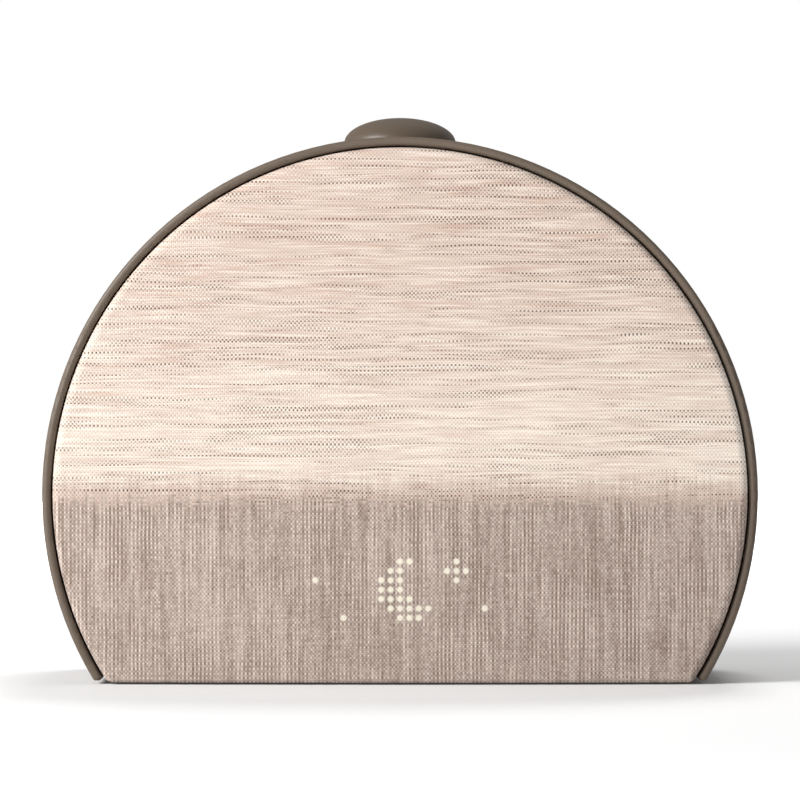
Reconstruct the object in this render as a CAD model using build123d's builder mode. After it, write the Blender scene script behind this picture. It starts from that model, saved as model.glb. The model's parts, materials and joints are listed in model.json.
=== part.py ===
from build123d import *
import os

os.makedirs("parts", exist_ok=True)

# ---------------------------------------------------------------------------
# Bedside smart speaker: an arch-shaped drum on edge, cut flat at the bottom.
# +Z is up, the front faces -Y, +X is to the right. The foot stands on z = 0.
# ---------------------------------------------------------------------------

# Overall sizes
OUTER_RADIUS = 101.6
CENTRE_ABOVE_BODY = 52.7
FOOT_PROUD = 1.0
DEPTH = 92.0
BODY_BOTTOM_Z = FOOT_PROUD
CENTRE_Z = BODY_BOTTOM_Z + CENTRE_ABOVE_BODY
CROWN_Z = CENTRE_Z + OUTER_RADIUS
FRONT_Y = -DEPTH / 2
REAR_Y = DEPTH / 2

# Moulded walls and general clearances
WALL = 2.5
INNER_RADIUS = OUTER_RADIUS - WALL
FIT = 0.3
SEAM = 0.4

# Front face: domed fabric on a moulded carrier, standing proud of the rim
FACE_GAP = 0.4
FACE_RADIUS = INNER_RADIUS - FACE_GAP
FACE_BOTTOM_Z = 0.6
FACE_EDGE = 2.0
DOME_RISE = 3.0
DOME_RADIUS = (FACE_RADIUS**2 + DOME_RISE**2) / (2 * DOME_RISE)
FABRIC_THICK = 0.8
CARRIER_WALL = 3.0
FACE_PROUD = 4.5
RIM_Y = FRONT_Y + FACE_PROUD
RIM_ROUND = 1.15
RIM_END_ROUND = 0.9
CARRIER_BACK_Y = RIM_Y + 5.5
FABRIC_BACK_Y = CARRIER_BACK_Y - 3.5

# Ledge inside the sleeve that the carrier is screwed to
LEDGE_WIDTH = 4.6
LEDGE_THICK = 2.5
LEDGE_BACK_Y = CARRIER_BACK_Y + LEDGE_THICK
FRONT_SCREW_RADIUS = 1.0
FRONT_SCREW_CIRCLE = FACE_RADIUS - FABRIC_THICK - CARRIER_WALL / 2
FRONT_SCREW_ANGLES = [-18, 22, 62, 118, 158, 198]

# Sleeve and rear cover
SEAM_Y = REAR_Y - 16.0
COVER_ROUND = 10.0
TONGUE_LENGTH = 5.0
TONGUE_WALL = 1.4
COVER_INSIDE_Y = REAR_Y - WALL
POST_RADIUS = 4.0
POST_CIRCLE = OUTER_RADIUS - 13.6
POST_ANGLES = [-10, 40, 140, 190]
POST_FRONT_Y = SEAM_Y - 24.0
POST_JOIN_Y = SEAM_Y - 5.5
RIB_THICK = 2.0
COVER_SCREW_RADIUS = 1.25
COVER_SCREW_HEAD_Y = REAR_Y - 8.0
COVER_SCREW_LENGTH = 26.0
COVER_PILOT_DEPTH = 14.0
COVER_FRONT_Y = SEAM_Y + SEAM
TONGUE_RADIUS = INNER_RADIUS - FIT
OPENING_CHAMFER = 0.4
SCREW_CLEARANCE = 0.4

# Pan-head screws, as shares of the shank radius
HEAD_RATIO = 1.9
HEAD_HEIGHT = 1.2
SOCKET_RATIO = 0.9
SOCKET_DEPTH = 0.6

# Base plate, foot and the screws that come up from below
BASE_THICK = 4.0
BASE_TOP_Z = BODY_BOTTOM_Z + BASE_THICK
FOOT_RECESS = 0.5
FOOT_LENGTH = 2 * OUTER_RADIUS - 55.2
FOOT_WIDTH = 60.0
FOOT_CORNER = 10.0
FOOT_EDGE = 0.6
BASE_SCREW_RADIUS = 1.25
BASE_SCREW_X = OUTER_RADIUS - 21.6
BASE_SCREW_YS = [FRONT_Y + 26.0, REAR_Y - 28.0]
BASE_BOSS_HEIGHT = 10.0
BASE_SCREW_BITE = 5.0
HEAD_DEPTH = 1.7
FOOT_Y = -3.0
BASE_HEAD_Z = BODY_BOTTOM_Z + FOOT_RECESS + HEAD_DEPTH

# Crown button
BUTTON_Y = -4.0
BUTTON_RADIUS = 16.25
BUTTON_RISE = 7.5
BUTTON_DOME = 7.3
BUTTON_SKIRT = 2.3
BUTTON_TRAVEL = 1.2
BUTTON_GAP = 0.65
BUTTON_UNDER = 0.4
BUTTON_TOP_Z = CROWN_Z + BUTTON_RISE
BUTTON_EQUATOR_Z = BUTTON_TOP_Z - BUTTON_DOME
BUTTON_BOTTOM_Z = BUTTON_EQUATOR_Z - BUTTON_SKIRT
POCKET_FLOOR_Z = BUTTON_BOTTOM_Z - BUTTON_TRAVEL - BUTTON_UNDER
POCKET_RADIUS = BUTTON_RADIUS + BUTTON_GAP
POCKET_FLOOR = 2.6
POCKET_UNDER_Z = POCKET_FLOOR_Z - POCKET_FLOOR
STEM_RADIUS = 3.0
STEM_FIT = 0.1
CLIP_THICK = 0.6
CLIP_RADIUS = 5.0
STEM_LENGTH = 2.5
STEM_END_Z = POCKET_UNDER_Z - STEM_LENGTH
DOME_SPRING = 3.5
BUTTON_BOARD_TOP_Z = STEM_END_Z - DOME_SPRING
BOARD_THICK = 1.6
BUTTON_WALL = 2.0
DOME_SWEEP = 88
CLIP_BORE = 2.4
DOME_WALL = 0.7
BUTTON_SCREW_LENGTH = 5.0
BUTTON_BOARD_WIDTH = 20.0
BUTTON_BOSS_X = POCKET_RADIUS + 7.1
BUTTON_BOARD_LENGTH = 2 * BUTTON_BOSS_X + 12.0
BUTTON_BOSS_RADIUS = 3.0
SMALL_SCREW_RADIUS = 1.0

# Light window and light bar behind the upper part of the fabric
HORIZON_Z = 55.0
CROSSBAR = 5.0
LIGHT_WINDOW_RADIUS = FACE_RADIUS - 7.7
WINDOW_FIT = 0.2
PANEL_LIP = 2.0
PANEL_LIP_THICK = 1.5
TRAY_RADIUS = INNER_RADIUS - LEDGE_WIDTH - 2.0
TRAY_WALL = 1.2
TRAY_BACK_Y = CARRIER_BACK_Y + 14.0
TRAY_BOTTOM_Z = HORIZON_Z - CROSSBAR - TRAY_WALL
LIGHT_BOARD_LENGTH = 2 * TRAY_RADIUS - 11.0
LIGHT_BOARD_WIDTH = 11.0
LED_PITCH = 7.0
LED_COUNT = int(LIGHT_BOARD_LENGTH / LED_PITCH)
LED_LENGTH = 3.5
LED_WIDTH = 2.8
LED_HEIGHT = 1.0

# Dot display behind the lower part of the fabric
DOT_PITCH = 2.66
DOT_COLUMNS = 23
DOT_ROWS = 7
DOT_HOLE = 0.95
DISPLAY_Z = 27.0
MASK_LENGTH = 76.0
MASK_HEIGHT = 26.0
MASK_CORNER = 3.0
DISPLAY_GAP = 1.4
DISPLAY_BOARD_LENGTH = 98.0
DISPLAY_BOARD_HEIGHT = 34.0
DISPLAY_SCREW_X = 44.0
DISPLAY_SCREW_Z = 12.0
CHIP_SIDE = 1.2
CHIP_HEIGHT = 0.8
INDICATOR_X = 30.2
INDICATOR_Z = 31.0
SENSOR_X = -34.0
SENSOR_SIDE = 2.0

# Speaker box with the loudspeaker firing to the rear
BOX_HALF_WIDTH = 52.0
BOX_DEPTH = 40.5
BOX_BACK_Y = REAR_Y - 13.5
BOX_FRONT_Y = BOX_BACK_Y - BOX_DEPTH
BOX_FOOT = 4.0
BOX_BOTTOM_Z = BASE_TOP_Z + BOX_FOOT
BOX_HEIGHT = 88.0
BOX_WALL = 2.5
BOX_CORNER = 6.0
BOX_FOOT_RADIUS = 5.0
BOX_FOOT_X = 40.0
BOX_FOOT_YS = [BOX_FRONT_Y + 8.0, BOX_BACK_Y - 8.5]
BOX_FOOT_BOSS = 10.0
BAFFLE_THICK = 2.5
BAFFLE_BACK_Y = BOX_BACK_Y + BAFFLE_THICK
BAFFLE_BOSS_RADIUS = 3.2
BAFFLE_SCREW_LENGTH = 9.0
BAFFLE_SCREW_X = BOX_HALF_WIDTH - BOX_WALL - BAFFLE_BOSS_RADIUS
BAFFLE_SCREW_Z = BOX_HEIGHT / 2 - BOX_WALL - BAFFLE_BOSS_RADIUS

# Loudspeaker, measured from the rear face of its flange
DRIVER_Z = BOX_BOTTOM_Z + BOX_HEIGHT / 2
GASKET_THICK = 0.8
FLANGE_THICK = 2.0
FLANGE_RADIUS = 31.0
FLANGE_FRONT_Y = BAFFLE_BACK_Y + GASKET_THICK
FLANGE_Y = FLANGE_FRONT_Y + FLANGE_THICK
BAFFLE_HOLE = 27.6
BASKET_RADIUS = 27.2
BASKET_WALL = 1.5
BASKET_LENGTH = 19.0
BASKET_SEAT_RADIUS = 17.0
MAGNET_RADIUS = 20.0
YOKE_RADIUS = MAGNET_RADIUS - 1.0
MAGNET_BORE = 11.0
MAGNET_THICK = 8.0
PLATE_THICK = 2.5
PLATE_BORE = 8.6
YOKE_THICK = 3.0
POLE_RADIUS = 7.5
COIL_RADIUS = 8.0
COIL_WALL = 0.3
COIL_LENGTH = 13.0
CONE_RADIUS = 22.5
CONE_WALL = 0.5
CONE_DEPTH = 14.0
SPIDER_THICK = 0.5
SURROUND_THICK = 0.5
DUST_CAP_RISE = 4.0
DUST_CAP_RADIUS = (DUST_CAP_RISE**2 + (COIL_RADIUS + COIL_WALL) ** 2) / (2 * DUST_CAP_RISE)
SURROUND_OUTER = (BASKET_RADIUS - BASKET_WALL - CONE_RADIUS) / 2 + SURROUND_THICK
SPIDER_Y = FLANGE_FRONT_Y - BASKET_LENGTH + 2.4
DRIVER_SCREW_STEP = 20.7
BASKET_WINDOWS = 4
BASKET_WINDOW_WIDTH = 14.0

# Rear grille
GRILLE_OPENING = 31.5
GRILLE_THICK = 1.0
GRILLE_RADIUS = GRILLE_OPENING + 3.0
GRILLE_HOLE = 0.9
GRILLE_PITCH = 3.0
GRILLE_RINGS = 9

# Rear knobs and the alarm switch
KNOB_X = 66.0
KNOB_Z = 78.0
KNOB_RADIUS = 10.5
KNOB_LENGTH = 4.6
KNOB_RECESS = 5.0
KNOB_GAP = 1.2
KNOB_WALL = 2.0
KNOB_CAP = 2.6
KNOB_MOUNT_Y = REAR_Y - KNOB_RECESS - KNOB_WALL
KNOB_FLUTES = 24
FLUTE_RADIUS = 0.5
SHAFT_RADIUS = 3.0
SHAFT_FIT = 0.05
SHAFT_DEPTH = 6.0
ENCODER_SIDE = 12.0
ENCODER_DEPTH = 7.0
SLIDER_Z = 120.0
SLIDER_TRAVEL = 4.0
SLIDER_LENGTH = 5.0
SLIDER_HEIGHT = 4.4
SLIDER_THICK = 0.9
SLIDER_PLATE = 7.0
SLOT_LENGTH = SLIDER_LENGTH + SLIDER_TRAVEL + 2 * FIT
SWITCH_LENGTH = SLOT_LENGTH + 2 * SLIDER_TRAVEL
SWITCH_DEPTH = 8.0

# Electronics
MAIN_BOARD_GAP = 8.4
MAIN_BOARD_LENGTH = 126.0
MAIN_BOARD_HEIGHT = 62.0
MAIN_BOARD_BOTTOM_Z = 15.0
CAPACITOR_XS = [20.0, 30.0, 40.0]
CAPACITOR_RADIUS = 4.0
CAPACITOR_LENGTH = 11.0
STANDOFF_RADIUS = 3.0
STANDOFF_X = 46.0
STANDOFF_Z = 24.0
POWER_X = 64.0
POWER_BOARD_Z = 14.0
POWER_BOARD_WIDTH = 18.0
POWER_BOARD_FRONT_Y = REAR_Y - 32.0
POWER_BOARD_BACK_Y = REAR_Y - 5.0
POWER_POST_YS = [REAR_Y - 27.5, REAR_Y - 20.0]
POWER_SCREW_LENGTH = 5.0
POWER_WIRE_XS = [POWER_X - 7.0, POWER_X - 5.0]
JACK_HEIGHT = 12.5
JACK_Z = POWER_BOARD_Z + BOARD_THICK + JACK_HEIGHT / 2
JACK_WIDTH = 11.0
JACK_RADIUS = 5.2
JACK_SOCKET = 2.8
JACK_PIN = 1.05
JACK_SOCKET_DEPTH = 9.5
JACK_BLOCK_FRONT_Y = REAR_Y - 17.0
JACK_BLOCK_BACK_Y = REAR_Y - 6.0
RIBBON_THICK = 0.4
RIBBON_WIDTH = 8.0
RIBBON_X = -20.0
WIRE_RADIUS = 0.8
WIRE_SPREAD = 3.0
SPEAKER_WIRE_Z = DRIVER_Z - BASKET_RADIUS + 1.6
SPEAKER_WIRE_BACK_Y = BOX_BACK_Y - 2.2
CONNECTOR_DEPTH = 4.0
CABLE_GAP = 2.0
WIRE_BITE = 2.0
CHIP_THICK = 1.2
PROCESSOR_SIDE = 14.0
PROCESSOR_ABOVE = 10.0
AMPLIFIER_SIDE = 8.0
AMPLIFIER_X = 30.0
AMPLIFIER_BELOW = 4.0
RADIO_LENGTH = 18.0
RADIO_HEIGHT = 24.0
RADIO_THICK = 2.6
RADIO_X = -28.0
RADIO_ABOVE = 12.0
CAPACITOR_BELOW = 20.0


def at_y(y):
    """The plane across the speaker at depth y, facing the front: local x is X and local y is Z."""
    return Plane.XZ.offset(-y)


def facing_rear(y):
    """The plane across the speaker at depth y, facing the rear: local x is -X and local y is Z."""
    return Plane(origin=(0, y, 0), x_dir=(-1, 0, 0), z_dir=(0, 1, 0))


def facing_down(z):
    """The level plane at height z, facing the floor: local x is X and local y is -Y."""
    return Plane(origin=(0, 0, z), x_dir=(1, 0, 0), z_dir=(0, 0, -1))


def below(points):
    """Points (x, y) as seen on a plane that faces the floor, where local y runs the other way."""
    return [(x, -y) for x, y in points]


def on_circle(radius, angles):
    """Points on a circle about the centre of the arch, as (x, z)."""
    steps = [Vector(radius, 0).rotate(Axis.Z, angle) for angle in angles]
    return [(step.X, step.Y + CENTRE_Z) for step in steps]


def mirrored(points):
    """The same points as seen from the rear, where local x runs the other way."""
    return [(-x, z) for x, z in points]


def arch_sketch(plane, radius, bottom_z):
    """A disc about the centre of the arch, cut flat at bottom_z."""
    with BuildSketch(plane) as arch:
        with Locations((0, CENTRE_Z)):
            Circle(radius)
        with Locations((0, bottom_z)):
            Rectangle(3 * radius, 3 * radius, align=(Align.CENTER, Align.MIN), mode=Mode.INTERSECT)
    return arch.sketch


def band_sketch(plane, outer, inner, bottom_z):
    """The strip between two radii of the arch, above bottom_z."""
    with BuildSketch(plane) as band:
        with Locations((0, CENTRE_Z)):
            Circle(outer)
            Circle(inner, mode=Mode.SUBTRACT)
        with Locations((0, bottom_z)):
            Rectangle(3 * outer, 3 * outer, align=(Align.CENTER, Align.MIN), mode=Mode.INTERSECT)
    return band.sketch


def face_block(inset):
    """The domed block of the front face, with every side taken in by inset."""
    with BuildPart() as block:
        with BuildSketch(at_y(CARRIER_BACK_Y)):
            with Locations((0, CENTRE_Z)):
                Circle(FACE_RADIUS - inset)
        extrude(amount=CARRIER_BACK_Y - FRONT_Y)
        with Locations((0, FRONT_Y + DOME_RADIUS, CENTRE_Z)):
            Sphere(DOME_RADIUS - inset, mode=Mode.INTERSECT)
        if inset < FACE_EDGE:
            fillet(block.faces().sort_by(Axis.Y)[0].edges(), FACE_EDGE - inset)
        split(bisect_by=Plane.XY.offset(FACE_BOTTOM_Z + inset), keep=Keep.TOP)
    return block.part


def cover_block(inset):
    """The dish of the rear cover as a solid block, with every side taken in by inset."""
    with BuildPart() as block:
        with BuildSketch(at_y(REAR_Y - inset)):
            with Locations((0, CENTRE_Z)):
                Circle(OUTER_RADIUS - inset)
        extrude(amount=DEPTH)
        fillet(block.faces().sort_by(Axis.Y)[-1].edges(), COVER_ROUND - inset)
        split(bisect_by=Plane.XY.offset(BODY_BOTTOM_Z + inset), keep=Keep.TOP)
    return block.part


def post_sketch(plane, reach):
    """The screw posts of the sleeve or the cover, each with a rib out to a radius."""
    with BuildSketch(plane) as posts:
        with Locations(*cover_points):
            Circle(POST_RADIUS)
        for angle in POST_ANGLES:
            with Locations(Location((0, CENTRE_Z, 0), (0, 0, angle))):
                with Locations((POST_CIRCLE, 0)):
                    Rectangle(reach - POST_CIRCLE, RIB_THICK, align=(Align.MIN, Align.CENTER))
    return posts.sketch


def screw_set(seat, points, shank_radius, length):
    """Screws with their heads on the seat plane and their shanks behind it, one at each point."""
    with BuildPart() as screws:
        with BuildSketch(seat):
            with Locations(*points):
                Circle(HEAD_RATIO * shank_radius)
        extrude(amount=HEAD_HEIGHT * shank_radius)
        with BuildSketch(seat):
            with Locations(*points):
                Circle(shank_radius)
        extrude(amount=-length)
        with BuildSketch(seat.offset(HEAD_HEIGHT * shank_radius)):
            with Locations(*points):
                RegularPolygon(SOCKET_RATIO * shank_radius, 6)
        extrude(amount=-SOCKET_DEPTH * shank_radius, mode=Mode.SUBTRACT)
    return screws.part


def round_columns(plane, points, radius, length):
    """Round columns standing on a plane, one at each point; a negative length goes behind it."""
    with BuildPart() as columns:
        with BuildSketch(plane):
            with Locations(*points):
                Circle(radius)
        extrude(amount=length)
    return columns.part


def slab(plane, centre, length, height, thick, corner=0):
    """A flat plate on a plane, with rounded corners."""
    with BuildPart() as plate:
        with BuildSketch(plane):
            with Locations(centre):
                if corner:
                    RectangleRounded(length, height, corner)
                else:
                    Rectangle(length, height)
        extrude(amount=thick)
    return plate.part


# --- shared places ---------------------------------------------------------

cover_points = on_circle(POST_CIRCLE, POST_ANGLES)
front_points = on_circle(FRONT_SCREW_CIRCLE, FRONT_SCREW_ANGLES)
base_points = [(side * BASE_SCREW_X, y) for side in (-1, 1) for y in BASE_SCREW_YS]
box_points = [(side * BOX_FOOT_X, y) for side in (-1, 1) for y in BOX_FOOT_YS]
button_points = [(-BUTTON_BOSS_X, BUTTON_Y), (BUTTON_BOSS_X, BUTTON_Y)]
display_points = [(x, DISPLAY_Z + z) for x in (-DISPLAY_SCREW_X, DISPLAY_SCREW_X)
                  for z in (-DISPLAY_SCREW_Z, DISPLAY_SCREW_Z)]
MAIN_BOARD_Y = BOX_FRONT_Y - MAIN_BOARD_GAP
MAIN_BOARD_FRONT_Y = MAIN_BOARD_Y - BOARD_THICK
MAIN_BOARD_Z = MAIN_BOARD_BOTTOM_Z + MAIN_BOARD_HEIGHT / 2
standoff_points = [(x, MAIN_BOARD_Z + z) for x in (-STANDOFF_X, STANDOFF_X)
                   for z in (-STANDOFF_Z, STANDOFF_Z)]

# Points below are symmetrical from side to side, or are mirrored where a plane faces the rear.
knob_points = [(KNOB_X, KNOB_Z), (-KNOB_X, KNOB_Z)]
power_points = [(POWER_X, y) for y in POWER_POST_YS]
baffle_points = [(x, DRIVER_Z + z) for x in (-BAFFLE_SCREW_X, BAFFLE_SCREW_X)
                 for z in (-BAFFLE_SCREW_Z, BAFFLE_SCREW_Z)]
driver_points = [(x, DRIVER_Z + z) for x in (-DRIVER_SCREW_STEP, DRIVER_SCREW_STEP)
                 for z in (-DRIVER_SCREW_STEP, DRIVER_SCREW_STEP)]
wire_points = [(-WIRE_SPREAD, SPEAKER_WIRE_Z), (WIRE_SPREAD, SPEAKER_WIRE_Z)]

# --- front face ------------------------------------------------------------

face_outside = face_block(0)
face_under_fabric = face_block(FABRIC_THICK)
face_cavity = face_block(FABRIC_THICK + CARRIER_WALL)
panel_back = face_block(FABRIC_THICK + CARRIER_WALL + PANEL_LIP_THICK)

# The woven cover: a thin domed skin that wraps over the edge of the carrier.
with BuildPart() as front_fabric:
    add(face_outside)
    add(face_under_fabric, mode=Mode.SUBTRACT)
    with BuildSketch(at_y(FABRIC_BACK_Y)):
        with Locations((0, CENTRE_Z)):
            Rectangle(3 * FACE_RADIUS, 3 * FACE_RADIUS)
    extrude(amount=FABRIC_BACK_Y - FRONT_Y, mode=Mode.INTERSECT)
front_fabric.part.label = "front_fabric"
export_step(front_fabric.part, "parts/front_fabric.step")

CARRIER_TOP_INSET = FABRIC_THICK + CARRIER_WALL
DISPLAY_BOARD_Y = FRONT_Y + CARRIER_TOP_INSET + DISPLAY_GAP + DOME_RISE / 2

# The carrier: a domed lid with a large window for the light above the horizon, and a small one for
# the display below it.
with BuildPart() as front_frame:
    add(face_under_fabric)
    add(face_cavity, mode=Mode.SUBTRACT)
    extrude(arch_sketch(at_y(0), LIGHT_WINDOW_RADIUS, HORIZON_Z), amount=DEPTH, mode=Mode.SUBTRACT)
    add(slab(at_y(0), (0, DISPLAY_Z), MASK_LENGTH, MASK_HEIGHT, DEPTH, MASK_CORNER), mode=Mode.SUBTRACT)
    with BuildSketch(at_y(DISPLAY_BOARD_Y)):
        with Locations(*display_points):
            Circle(STANDOFF_RADIUS)
    extrude(amount=DISPLAY_BOARD_Y - FRONT_Y - FABRIC_THICK - CARRIER_WALL / 2 - DOME_RISE / 2)
    add(round_columns(at_y(DISPLAY_BOARD_Y), display_points, SMALL_SCREW_RADIUS, DISPLAY_GAP + DOME_RISE / 2),
        mode=Mode.SUBTRACT)
    add(round_columns(at_y(CARRIER_BACK_Y), front_points, FRONT_SCREW_RADIUS, FACE_PROUD), mode=Mode.SUBTRACT)
front_frame.part.label = "front_frame"
export_step(front_frame.part, "parts/front_frame.step")

# Screws through the ledge of the sleeve into the back of the carrier.
front_screws = screw_set(facing_rear(LEDGE_BACK_Y), mirrored(front_points), FRONT_SCREW_RADIUS,
                         LEDGE_THICK + FACE_PROUD)
front_screws.label = "front_screws"
export_step(front_screws, "parts/front_screws.step")

# Opal panel flush in the light window, with a lip behind the carrier.
with BuildPart() as light_diffuser:
    add(face_under_fabric)
    add(face_cavity, mode=Mode.SUBTRACT)
    extrude(arch_sketch(at_y(0), LIGHT_WINDOW_RADIUS - WINDOW_FIT, HORIZON_Z + WINDOW_FIT),
            amount=DEPTH, mode=Mode.INTERSECT)
with BuildPart() as diffuser_lip:
    add(face_cavity)
    add(panel_back, mode=Mode.SUBTRACT)
    extrude(arch_sketch(at_y(0), LIGHT_WINDOW_RADIUS + PANEL_LIP, HORIZON_Z - PANEL_LIP),
            amount=DEPTH, mode=Mode.INTERSECT)
with light_diffuser:
    add(diffuser_lip.part)
light_diffuser.part.label = "light_diffuser"
export_step(light_diffuser.part, "parts/light_diffuser.step")

# --- light bar behind the upper half ---------------------------------------

# White tray that spreads the light: an arch-shaped box, open at the front, whose domed rim is bonded to
# the lip of the opal panel.
with BuildPart() as tray_rim:
    extrude(arch_sketch(at_y(CARRIER_BACK_Y), TRAY_RADIUS, TRAY_BOTTOM_Z), amount=DEPTH)
    add(panel_back, mode=Mode.INTERSECT)
with BuildPart() as light_tray:
    extrude(arch_sketch(at_y(TRAY_BACK_Y), TRAY_RADIUS, TRAY_BOTTOM_Z), amount=TRAY_BACK_Y - CARRIER_BACK_Y)
    add(tray_rim.part)
    extrude(arch_sketch(at_y(TRAY_BACK_Y - TRAY_WALL), TRAY_RADIUS - TRAY_WALL, TRAY_BOTTOM_Z + TRAY_WALL),
            amount=DEPTH, mode=Mode.SUBTRACT)
light_tray.part.label = "light_tray"
export_step(light_tray.part, "parts/light_tray.step")

LIGHT_BOARD_Y = (CARRIER_BACK_Y + TRAY_BACK_Y - TRAY_WALL) / 2
LIGHT_BOARD_Z = TRAY_BOTTOM_Z + TRAY_WALL

# Long board on the floor of the tray, with lamps that shine up from the horizon.
with BuildPart() as light_bar_board:
    with BuildSketch(Plane.XY.offset(LIGHT_BOARD_Z)):
        with Locations((0, LIGHT_BOARD_Y)):
            Rectangle(LIGHT_BOARD_LENGTH, LIGHT_BOARD_WIDTH)
    extrude(amount=BOARD_THICK)
light_bar_board.part.label = "light_bar_board"
export_step(light_bar_board.part, "parts/light_bar_board.step")

with BuildPart() as light_bar_leds:
    with BuildSketch(Plane.XY.offset(LIGHT_BOARD_Z + BOARD_THICK)):
        with Locations((0, LIGHT_BOARD_Y)):
            with GridLocations(LED_PITCH, 1, LED_COUNT, 1):
                Rectangle(LED_LENGTH, LED_WIDTH)
    extrude(amount=LED_HEIGHT)
light_bar_leds.part.label = "light_bar_leds"
export_step(light_bar_leds.part, "parts/light_bar_leds.step")

# --- dot display behind the lower half --------------------------------------

# Dark mask in the small window: one hole for each dot, one for the indicator and one for the sensor.
with BuildPart() as mask_lip:
    add(face_cavity)
    add(panel_back, mode=Mode.SUBTRACT)
    add(slab(at_y(0), (0, DISPLAY_Z), MASK_LENGTH + 2 * PANEL_LIP, MASK_HEIGHT + 2 * PANEL_LIP, DEPTH,
             MASK_CORNER), mode=Mode.INTERSECT)
with BuildPart() as display_mask:
    add(face_under_fabric)
    add(face_cavity, mode=Mode.SUBTRACT)
    add(slab(at_y(0), (0, DISPLAY_Z), MASK_LENGTH - 2 * WINDOW_FIT, MASK_HEIGHT - 2 * WINDOW_FIT, DEPTH,
             MASK_CORNER), mode=Mode.INTERSECT)
    add(mask_lip.part)
    with BuildSketch(at_y(0)):
        with Locations((0, DISPLAY_Z)):
            with GridLocations(DOT_PITCH, DOT_PITCH, DOT_COLUMNS, DOT_ROWS):
                Circle(DOT_HOLE)
        with Locations((INDICATOR_X, INDICATOR_Z)):
            Circle(DOT_HOLE)
        with Locations((SENSOR_X, DISPLAY_Z)):
            Circle(SENSOR_SIDE)
    extrude(amount=DEPTH, mode=Mode.SUBTRACT)
display_mask.part.label = "display_mask"
export_step(display_mask.part, "parts/display_mask.step")

with BuildPart() as display_board:
    with BuildSketch(at_y(DISPLAY_BOARD_Y)):
        with Locations((0, DISPLAY_Z)):
            Rectangle(DISPLAY_BOARD_LENGTH, DISPLAY_BOARD_HEIGHT)
        with Locations(*display_points):
            Circle(SMALL_SCREW_RADIUS + SCREW_CLEARANCE / 2, mode=Mode.SUBTRACT)
    extrude(amount=-BOARD_THICK)
display_board.part.label = "display_board"
export_step(display_board.part, "parts/display_board.step")

display_screws = screw_set(facing_rear(DISPLAY_BOARD_Y + BOARD_THICK), mirrored(display_points),
                           SMALL_SCREW_RADIUS, BOARD_THICK + DISPLAY_GAP + DOME_RISE / 2)
display_screws.label = "display_screws"
export_step(display_screws, "parts/display_screws.step")

# One lamp behind each hole of the mask, and one for the indicator beside them.
with BuildPart() as display_leds:
    with BuildSketch(at_y(DISPLAY_BOARD_Y)):
        with Locations((0, DISPLAY_Z)):
            with GridLocations(DOT_PITCH, DOT_PITCH, DOT_COLUMNS, DOT_ROWS):
                Rectangle(CHIP_SIDE, CHIP_SIDE)
        with Locations((INDICATOR_X, INDICATOR_Z)):
            Rectangle(CHIP_SIDE, CHIP_SIDE)
    extrude(amount=CHIP_HEIGHT)
display_leds.part.label = "display_leds"
export_step(display_leds.part, "parts/display_leds.step")

light_sensor = slab(at_y(DISPLAY_BOARD_Y), (SENSOR_X, DISPLAY_Z), SENSOR_SIDE, SENSOR_SIDE, CHIP_HEIGHT)
light_sensor.label = "light_sensor"
export_step(light_sensor, "parts/light_sensor.step")

# --- housing ----------------------------------------------------------------

# Thickening under the crown that holds the button, kept inside the wall of the sleeve.
with BuildPart() as button_boss:
    with BuildSketch(Plane.XY.offset(POCKET_UNDER_Z)):
        with Locations((0, BUTTON_Y)):
            Circle(POCKET_RADIUS + WALL)
    extrude(amount=WALL + CROWN_Z - POCKET_UNDER_Z)
    extrude(arch_sketch(at_y(REAR_Y), INNER_RADIUS + WALL / 2, BODY_BOTTOM_Z), amount=DEPTH,
            mode=Mode.INTERSECT)

# Corner bosses for the screws that come up through the base plate, with ribs out to the wall.
with BuildPart() as base_bosses:
    with BuildSketch(Plane.XY.offset(BASE_TOP_Z)):
        with Locations(*base_points):
            Circle(POST_RADIUS)
    extrude(amount=BASE_BOSS_HEIGHT)
    for rib_y in BASE_SCREW_YS:
        with BuildSketch(at_y(rib_y + RIB_THICK / 2)) as rib:
            with Locations((0, BASE_TOP_Z)):
                Rectangle(3 * OUTER_RADIUS, BASE_BOSS_HEIGHT, align=(Align.CENTER, Align.MIN))
                Rectangle(2 * BASE_SCREW_X, BASE_BOSS_HEIGHT, align=(Align.CENTER, Align.MIN),
                          mode=Mode.SUBTRACT)
            with Locations((0, CENTRE_Z)):
                Circle(INNER_RADIUS + WALL / 2, mode=Mode.INTERSECT)
        extrude(amount=RIB_THICK)

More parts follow.
